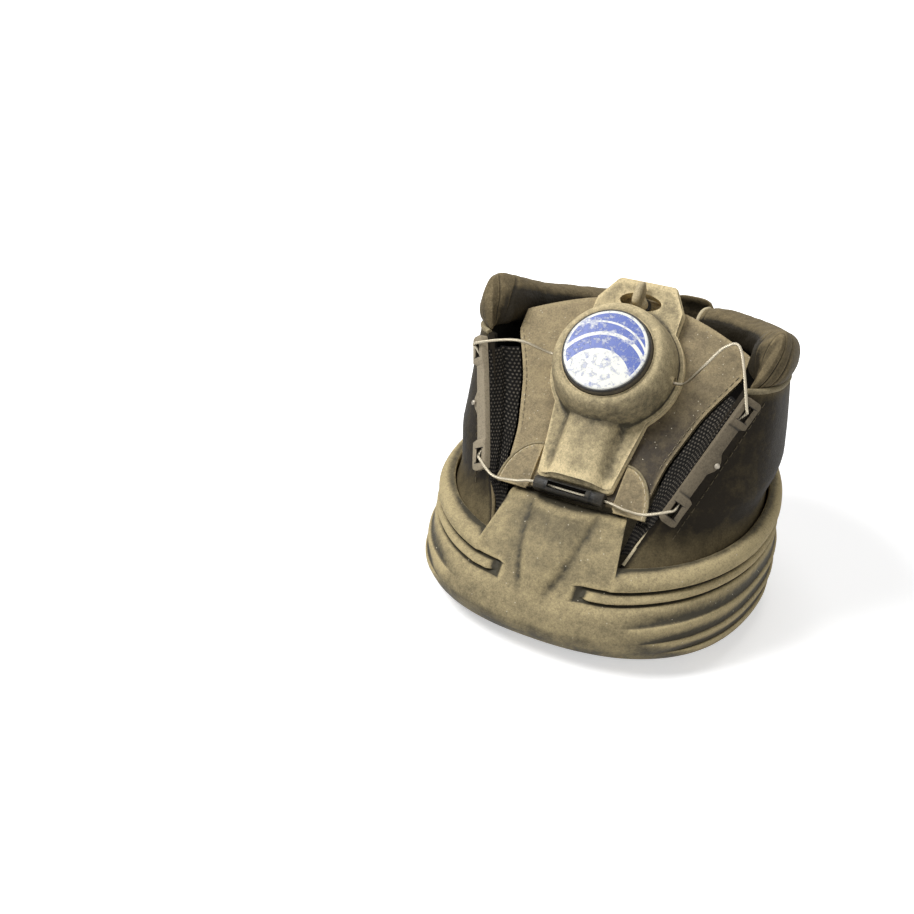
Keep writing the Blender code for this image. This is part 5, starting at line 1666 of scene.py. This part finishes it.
def build_guide_strip(word, side, looks):
    """Long lace guide: a slim bar beside the mesh with a wider window plate at each end."""
    rings = []
    span = guide_high_height - guide_low_height
    inner = -guide_width / 2 - guide_tuck
    for station in range(guide_stations + 1):
        share = station / guide_stations
        height = mix(guide_low_height, guide_high_height, share)
        away = min(share, 1 - share) * span / guide_plate_spread
        plate = 1 - ramp(away, *guide_plate_lengths)
        tip = 1 - guide_tip_share * max(1 - away / guide_tip_length, 0) ** 2
        lug = 1 - ramp(abs(share - 0.5) * span, *guide_lug_lengths)
        outer = mix(guide_bar_out, guide_width / 2 - guide_plate_inset, max(plate, lug))
        thick = mix(guide_thickness - guide_bar_thinness, guide_thickness, plate)
        thick *= mix(guide_tip_thickness, 1, tip)
        middle = (inner + outer) / 2
        half = (outer - inner) / 2 * tip
        low = guide_channel_offset - guide_channel_width / 2
        high = guide_channel_offset + guide_channel_width / 2
        left = middle - half
        right = middle + half
        edge = guide_edge
        cut = edge * edge_middle
        section = [(left, 0), (low, 0), (low, guide_channel_depth), (high, guide_channel_depth), (high, 0),
                   (right, 0), (right, thick - edge), (right - cut, thick - cut), (right - edge, thick),
                   (left + edge, thick), (left + cut, thick - cut), (left, thick - edge)]
        frame = guide_frame(height, side)
        rings.append([frame @ Vector((x, 0, z)) for x, z in section])
    item = piece("guide_strip_" + word, ring_solid(bmesh.new(), rings), "boot", "guide_plastic_" + word,
                 looks["guide_" + word], ["lace_guide_" + word], smooth_angle=35,
                 settle=guide_settle)
    windows = bmesh.new()
    for end, way in ((guide_low_height, 1), (guide_high_height, -1)):
        frame = guide_frame(end, side, guide_channel_offset, guide_thickness)
        middle = way * (guide_window_end + guide_window_length / 2)
        depth = 2 * (guide_thickness - guide_channel_depth) + cut_overrun
        block(windows, (guide_window_width, guide_window_length, depth),
              frame @ Matrix.Translation((0, middle, 0)))
    cutter(item, "guide_strip_%s_windows" % word, windows)


def build_lace_line(looks):
    """Steel lace along the route of the CAD source, in runs that ride on the boot or the tongue, or stay
    unattached between them.
    """
    route = [Vector(point) for point in lace_route]
    ends = [2 * route[0] - route[1]] + route + [2 * route[-1] - route[-2]]
    travelled = 0
    for label, first, last, body in lace_runs:
        points = []
        for index in range(first + 1, last + 1):
            points += [smooth_step(ends[index - 1:index + 3], part / lace_steps) for part in range(lace_steps)]
        points.append(route[last])
        holder = body if isinstance(body, str) else (route[body[0]], route[body[1]])
        item = piece("steel_lace_" + label, sweep(points, lace_diameter / 2, cord_sides), holder, "lace_steel",
                     looks["lace"], ["lace"] if body != "tongue" else [], smooth_angle=60)
        layer = item.data.uv_layers.new(name="strands")
        travel = [travelled]
        for start, end in zip(points, points[1:]):
            travel.append(travel[-1] + (end - start).length)
        travelled = travel[-1]
        for polygon in item.data.polygons:
            spots = [divmod(item.data.loops[i].vertex_index, cord_sides) for i in polygon.loop_indices]
            steps = [step for _, step in spots]
            wraps = max(steps) - min(steps) > cord_sides / 2
            for index, (ring, step) in zip(polygon.loop_indices, spots):
                turn = step + cord_sides if wraps and step < cord_sides / 2 else step
                layer.data[index].uv = (turn / cord_sides, travel[ring] / lace_diameter)


def build_stitching(looks):
    """Rows of stitches beside the guides and on the tongue, and the dashed seam over the shield."""
    normal = on_tongue_normal()
    for word, side in SIDES:
        leather, patch = "quarter_leather_" + word, "patch_leather_" + word
        places = [(height, *behind_edge(height, front_seam_away, stitch_height)) for height in spaced(*front_seam)]
        front = [sided(spot, side) for _, _, spot in places]
        outs = [sided(form_normal(fold, height), side) for height, fold, _ in places]
        stitches("stitch_front_" + word, front, outs, "boot", leather, looks["thread_dark"],
                 *stitch_sizes["front"])
        reach = tongue_half_width(shield_seam_station) - shield_seam_inset
        edge = [on_tongue(side * (tongue_half_width(station) - tongue_seam_inset), station, stitch_height)
                for station in spaced(*tongue_seam)]
        foot = [on_tongue(side * x, shield_seam_station, stitch_height)
                for x in spaced(shield_seam_start, reach, shield_seam_points)]
        round_patch = patch_arc(side, patch_seam_points, patch_seam_inset, stitch_height)
        for label, spots, slot, look in (("tongue", edge, "tongue_leather", "thread"),
                                         ("shield", foot, "tongue_leather", "thread_dark"),
                                         ("patch", round_patch, patch, "thread_pale")):
            stitches("stitch_%s_%s" % (label, word), spots, [normal] * len(spots), "tongue", slot, looks[look],
                     *stitch_sizes[label])


class Level:
    """Output of a shader node; plain arithmetic on it adds Math nodes."""

    def __init__(self, tree, socket):
        self.tree = tree
        self.socket = socket

    def math(self, operation, other=0.0, clamp=False):
        """Result of a Math node."""
        settings = {"operation": operation, "use_clamp": clamp}
        return self.tree.out("ShaderNodeMath", 0, settings, n0=self, n1=other)

    def __add__(self, other):
        return self.math("ADD", other)

    def __sub__(self, other):
        return self.math("SUBTRACT", other)

    def __mul__(self, other):
        return self.math("MULTIPLY", other)

    def __truediv__(self, other):
        return self.math("DIVIDE", other)

    def __abs__(self):
        return self.math("ABSOLUTE")

    def most(self, other):
        """The larger of two values."""
        return self.math("MAXIMUM", other)

    def spread(self, low, high):
        """Value stretched from low..high to 0..1."""
        return self.tree.out("ShaderNodeMapRange", "Result", {"clamp": True}, Value=self, From_Min=low,
                             From_Max=high)

    def between(self, low, high):
        """Value from 0..1 brought to low..high."""
        return self.tree.out("ShaderNodeMapRange", "Result", Value=self, To_Min=low, To_Max=high)


class Tree:
    """Short way to write the nodes of one shader tree or group."""

    def __init__(self, tree):
        self.tree = tree

    def add(self, kind, settings=(), **values):
        """New node, with its settings and the values or links of its named inputs."""
        node = self.tree.nodes.new(kind)
        for key, value in dict(settings).items():
            setattr(node, key, value)
        for key, value in values.items():
            self.feed(node, key, value)
        return node

    def feed(self, node, key, value):
        """Set or link one input, named with underscores for spaces or by its number."""
        socket = node.inputs[int(key[1:]) if key[1:].isdigit() else key.replace("_", " ")]
        if isinstance(value, Level):
            self.tree.links.new(value.socket, socket)
        else:
            socket.default_value = value

    def out(self, kind, label, settings=(), **values):
        """One output of a new node."""
        return Level(self, self.add(kind, settings, **values).outputs[label])

    def outs(self, kind, settings=(), **values):
        """All outputs of a new node, by name."""
        node = self.add(kind, settings, **values)
        return {socket.name: Level(self, socket) for socket in node.outputs}

    def place(self):
        """Place on the object."""
        return self.out("ShaderNodeTexCoord", "Object")

    def sheet(self, name):
        """Place on a piece's own map, as X, Y and Z."""
        place = self.out("ShaderNodeUVMap", "UV", {"uv_map": name})
        return self.outs("ShaderNodeSeparateXYZ", Vector=place)

    def noise(self, place, scale, detail=4.0, rough=0.6):
        """Noise value between 0 and 1."""
        return self.out("ShaderNodeTexNoise", "Fac", Vector=place, Scale=scale, Detail=detail, Roughness=rough)

    def seen(self):
        """1 where the camera, a gloss or a clear piece sees the surface, 0 where it only gives light."""
        path = self.outs("ShaderNodeLightPath")
        return path["Is Camera Ray"].most(path["Is Glossy Ray"].most(path["Is Transmission Ray"]))

    def blend(self, share, first, second):
        """Mix of two colours."""
        return self.out("ShaderNodeMix", 2, {"data_type": "RGBA"}, n0=share, n6=first, n7=second)


def new_group(name, inputs, outputs):
    """Empty shader group with named sockets: number inputs have a number, colour inputs four."""
    group = bpy.data.node_groups.new(name, "ShaderNodeTree")
    for label, value in inputs.items():
        kind = COLOUR if isinstance(value, tuple) else NUMBER
        group.interface.new_socket(label, in_out="INPUT", socket_type=kind).default_value = value
    for label in outputs:
        kind = COLOUR if label == "Color" else NUMBER
        group.interface.new_socket(label, in_out="OUTPUT", socket_type=kind)
    tree = Tree(group)
    return group, tree, tree.outs("NodeGroupInput")


def close_group(tree, **values):
    """Feed the outputs of a group."""
    tree.add("NodeGroupOutput", **values)


def dust_group():
    """Dry dust: blotches, streaks and fine specks, with a painted highlight on raised edges and painted shade in
    hollows; more where the stored per-point values call for it, and on upward faces, which also paints light on
    tops and shade under them.
    """
    group, tree, given = new_group(
        "Dust", {"Base Color": (0.05, 0.045, 0.03, 1), "Dust Color": (0.4, 0.34, 0.21, 1), "Amount": 0.5,
                 "Blotch Scale": 40.0, "Edge": 0.5, "Settled": 0.5}, ("Color", "Mask"))
    place = tree.place()
    geometry = tree.outs("ShaderNodeNewGeometry")
    blotch = tree.noise(place, given["Blotch Scale"], *blotch_noise)
    medium = tree.noise(place, given["Blotch Scale"] * medium_scale, *medium_noise)
    fine = tree.noise(place, fine_scale, *fine_noise)
    # Painted highlight on raised edges and painted shade in hollows, from the pointiness
    edge_light_and_hollow_shade = geometry["Pointiness"].spread(*edge_light_range) - 0.5
    edge_light_and_hollow_shade = edge_light_and_hollow_shade.most(edge_light_and_hollow_shade * hollow_shade_share)
    # Stored per-point dust with painted shade and highlight, plus upward faces: dust and painted light on tops,
    # painted shade on undersides
    settled = tree.out("ShaderNodeAttribute", "Fac", {"attribute_name": "settled"})
    upward_dust_and_light = tree.out("ShaderNodeSeparateXYZ", "Z", Vector=geometry["Normal"])
    lying = (settled + upward_dust_and_light * upward_share) * given["Settled"]
    level = blotch * blotch_share + medium * medium_share + edge_light_and_hollow_shade * given["Edge"] + lying * lying_share
    level = (level + (given["Amount"] - 0.5)).spread(*cover_range)
    worn = fine.spread(*fine_range) * fine_share + medium.spread(*streak_range) * streak_share
    mask = level.math("MULTIPLY", worn + least_cover, True)
    close_group(tree, Color=tree.blend(mask, given["Base Color"], given["Dust Color"]), Mask=mask)
    return group


def speck_group():
    """Pale dried splashes scattered over a surface."""
    group, tree, given = new_group(
        "Splashes", {"Color": (0.1, 0.1, 0.1, 1), "Splash Color": (0.62, 0.56, 0.42, 1), "Scale": 260.0,
                     "Share": 0.25}, ("Color", "Mask"))
    cells = tree.outs("ShaderNodeTexVoronoi", Vector=tree.place(), Scale=given["Scale"])
    chosen = tree.out("ShaderNodeSeparateColor", 0, Color=cells["Color"]).math("LESS_THAN", given["Share"])
    mask = chosen * cells["Distance"].spread(*splash_range)
    close_group(tree, Color=tree.blend(mask, given["Color"], given["Splash Color"]), Mask=mask)
    return group


def grain_group():
    """Leather or rubber grain as a height."""
    group, tree, given = new_group("Grain", {"Scale": 700.0, "Crease": 0.3}, ("Height",))
    place = tree.place()
    cells = tree.out("ShaderNodeTexVoronoi", "Distance", Vector=place, Scale=given["Scale"])
    share, *values = grain_fine
    fine = tree.noise(place, given["Scale"] * share, *values)
    share, *values = grain_ridge
    ridge = abs(tree.noise(place, given["Scale"] * share, *values) - 0.5)
    close_group(tree, Height=cells * 0.5 + fine * 0.5 + ridge * 4.0 * given["Crease"])
    return group


def knit_group():
    """Coarse mesh cloth: rows of round holes between threads, from the sheet's own coordinates."""
    group, tree, given = new_group("Coarse Mesh", {"Pitch": 0.0015}, ("Height", "Thread"))
    place = tree.sheet("sheet")
    row = place["Y"] / given["Pitch"]
    offset = row.math("FLOOR").math("MODULO", 2.0) * 0.5
    across = (place["X"] / given["Pitch"] + offset).math("FRACT") - 0.5
    along = row.math("FRACT") - 0.5
    thread = (across * across + along * along).math("SQRT").spread(*thread_range)
    close_group(tree, Height=thread, Thread=thread)
    return group


def print_group():
    """Generic worn print of a dial: a blue disc with a pale band and arcs."""
    group, tree, given = new_group(
        "Dial Print", {"Field Color": (0.040, 0.085, 0.36, 1), "Pale Color": (0.74, 0.74, 0.67, 1)},
        ("Color", "Worn"))
    disc = tree.sheet("disc")
    x = disc["X"] - 0.5
    y = disc["Y"] - 0.5

    def far(dx, dy):
        across = x - dx
        along = y - dy
        return (across * across + along * along).math("SQRT")

    def band(dx, dy, radius, width):
        return abs(far(dx, dy) - radius).math("LESS_THAN", width)

    *middle, radius = low_disc
    pale = far(0, 0).math("GREATER_THAN", rim_radius).most(far(*middle).math("LESS_THAN", radius))
    pale = pale.most(band(*arc_marks[0]).most(band(*arc_marks[1])))
    place = tree.place()
    chips = tree.noise(place, *chip_noise).spread(*chip_range) * chip_share
    wear = chips.most(tree.noise(place, *scuff_noise).spread(*scuff_range))
    flipped = abs(pale - wear * wear_share)
    close_group(tree, Color=tree.blend(flipped, given["Field Color"], given["Pale Color"]), Worn=wear)
    return group


def strand_group():
    """Twisted strands of a steel lace as a height."""
    group, tree, given = new_group("Strands", {"Count": 6.0, "Lay": 1.1}, ("Height",))
    place = tree.sheet("strands")
    turn = place["X"] * given["Count"] + place["Y"] * given["Lay"]
    close_group(tree, Height=(turn * (2 * math.pi)).math("SINE"))
    return group


class Finish:
    """One new material: its tree, its shader and the shared groups put in it."""

    def __init__(self, name):
        self.material = bpy.data.materials.new(name)
        self.material.use_nodes = True
        self.tree = Tree(self.material.node_tree)
        self.shader = self.material.node_tree.nodes["Principled BSDF"]

    def set(self, **values):
        """Set or link inputs of the shader."""
        for key, value in values.items():
            self.tree.feed(self.shader, key, value)

    def place(self, group, **values):
        """Outputs of a shared group put in the material."""
        return self.tree.outs("ShaderNodeGroup", {"node_tree": group}, **values)

    def bump(self, height, distance):
        """Drive the shader's normal with a height."""
        self.set(Normal=self.tree.out("ShaderNodeBump", "Normal", Strength=1.0, Distance=distance, Height=height))


def dusty(groups, name, base, dust, amount, scale, edge, settled, grain, crease, depth, rough, splash, gloss):
    """Worn material under dust, with grain and dried splashes, painted highlights on raised edges and painted
    shade in hollows and under overhangs.
    """
    finish = Finish(name)
    finish.set(Specular_IOR_Level=gloss)
    cover = finish.place(groups["dust"], Base_Color=(*base, 1), Dust_Color=(*dust, 1), Amount=amount,
                         Blotch_Scale=scale, Edge=edge, Settled=settled)
    colour = cover["Color"]
    if splash:
        share, size = splash
        colour = finish.place(groups["specks"], Color=colour, Share=share, Scale=size)["Color"]
    finish.set(Base_Color=colour, Roughness=cover["Mask"].between(*rough))
    skin = finish.place(groups["grain"], Scale=grain, Crease=crease)
    finish.bump(skin["Height"] + cover["Mask"] * dust_height, depth)
    return finish.material


def mesh_cloth(groups):
    """Black coarse mesh with dust on its threads."""
    finish = Finish("gusset_mesh_black")
    knit = finish.place(groups["knit"])
    cover = finish.place(groups["dust"], Base_Color=(0.03, 0.027, 0.023, 1), Dust_Color=(0.30, 0.265, 0.215, 1),
                         Amount=0.44, Blotch_Scale=90.0, Edge=0.0, Settled=0.0)
    colour = finish.tree.blend(knit["Thread"], (0.004, 0.0035, 0.003, 1), cover["Color"])
    finish.set(Base_Color=colour, Roughness=0.85, Specular_IOR_Level=0.15)
    finish.bump(knit["Height"], mesh_height)
    return finish.material


def printed_face(groups):
    """Printed dial face."""
    finish = Finish("dial_face_worn_print")
    picture = finish.place(groups["print"])
    finish.set(Base_Color=picture["Color"], Roughness=0.38)
    finish.bump(picture["Worn"], print_height)
    return finish.material


def twisted_steel(groups):
    """Twisted steel of the lace."""
    finish = Finish("lace_steel_twisted")
    finish.set(Base_Color=(0.46, 0.41, 0.31, 1), Metallic=1.0, Roughness=0.4)
    finish.bump(finish.place(groups["strands"])["Height"], strand_height)
    return finish.material


def worn_metal(name, colour, rough):
    """Plain worn metal."""
    finish = Finish(name)
    wear = finish.tree.noise(finish.tree.place(), metal_wear_scale)
    finish.set(Base_Color=(*colour, 1), Metallic=1.0,
               Roughness=wear.between(rough - metal_polish, rough + metal_dull))
    return finish.material


def make_looks():
    """All the finishes of the boot."""
    groups = {"dust": dust_group(), "specks": speck_group(), "grain": grain_group(), "knit": knit_group(),
              "print": print_group(), "strands": strand_group()}
    looks = {key: dusty(groups, *values, splashes.get(key), glosses.get(key, plain_gloss))
             for key, values in dusty_looks.items()}
    looks["mesh"] = mesh_cloth(groups)
    looks["face"] = printed_face(groups)
    looks["lace"] = twisted_steel(groups)
    looks["brass"] = worn_metal("bush_brass_worn", (0.7, 0.52, 0.28), 0.35)
    looks["steel"] = worn_metal("steel_worn", (0.30, 0.27, 0.22), 0.5)
    return looks


def dress_cad_nodes(looks):
    """Give the CAD nodes that stay visible their worked finishes."""
    for look, nodes in cad_looks.items():
        for node in nodes:
            for slot in frame["nodes"][node].material_slots:
                slot.material = looks[look]


def framed(columns):
    """Matrix with the given columns."""
    matrix = Matrix.Identity(4)
    for index, column in enumerate(columns):
        matrix.col[index][:3] = column
    return matrix


def set_camera():
    """Camera at the photograph's viewing angle."""
    turn, tilt, roll = (math.radians(value) for value in (view_turn, view_tilt, view_roll))
    across = Vector((math.cos(turn), -math.sin(turn), 0))
    level = Vector((math.sin(turn), math.cos(turn), 0))
    upright = level * math.sin(tilt) + Vector((0, 0, math.cos(tilt)))
    ahead = level * math.cos(tilt) - Vector((0, 0, math.sin(tilt)))
    right = across * math.cos(roll) + upright * math.sin(roll)
    up = upright * math.cos(roll) - across * math.sin(roll)
    rise = view_shift_y * math.sin(tilt)
    along = right * (view_shift_x * math.cos(roll) + rise * math.sin(roll))
    along += up * (rise * math.cos(roll) - view_shift_x * math.sin(roll))
    along += ahead * (view_shift_y * math.cos(tilt) + view_distance)
    camera = bpy.data.objects.new("camera", bpy.data.cameras.new("camera"))
    bpy.context.scene.collection.objects.link(camera)
    camera.data.lens = lens_mm
    camera.data.clip_start = 0.01
    camera.matrix_world = framed((right, up, -ahead, -along))
    bpy.context.scene.camera = camera


def set_studio():
    """Pale floor that keeps the boot's shadow, soft lamps and a white backdrop."""
    scene = bpy.context.scene
    scene.view_settings.view_transform = "Standard"
    world = bpy.data.worlds.new("studio")
    scene.world = world
    world.use_nodes = True
    tree = Tree(world.node_tree)
    background = world.node_tree.nodes["Background"]
    tree.feed(background, "Color", (1, 1, 1, 1))
    tree.feed(background, "Strength", tree.seen().between(fill_light, 1.0))
    shape = bmesh.new()
    bmesh.ops.create_grid(shape, x_segments=1, y_segments=1, size=floor_size)
    floor = new_item("floor", shape)
    finish = Finish("floor_pale")
    tree = finish.tree
    reach = tree.out("ShaderNodeVectorMath", "Value", {"operation": "LENGTH"}, n0=tree.place())
    glow = tree.blend(reach.spread(*glow_reach), (0.5, 0.5, 0.5, 1), (1, 1, 1, 1))
    finish.set(Base_Color=(0.8, 0.8, 0.8, 1), Roughness=0.9, Specular_IOR_Level=0.1, Emission_Strength=1.0,
               Emission_Color=tree.blend(tree.seen(), (0, 0, 0, 1), glow))
    floor.data.materials.append(finish.material)
    for name, place, size, power in lamps:
        lamp = bpy.data.lights.new(name, "AREA")
        lamp.energy = power
        lamp.size = size
        item = bpy.data.objects.new(name, lamp)
        scene.collection.objects.link(item)
        item.location = place
        way = Vector((0, 0, lamp_aim_height)) - Vector(place)
        item.rotation_euler = way.to_track_quat("-Z", "Y").to_euler()


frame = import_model()
set_camera()
set_studio()
looks = make_looks()
build_shell(looks)
for word, side in SIDES:
    for build in (build_uppers, build_quarter_binding, build_collar_roll, build_half_moon, build_mesh_gusset,
                  build_guide_strip):
        build(word, side, looks)
for build in (build_heel_band, build_tongue_leather, build_reel_hood, build_dial_knob, build_wing, build_tube,
              build_lace_line, build_stitching):
    build(looks)
dress_cad_nodes(looks)
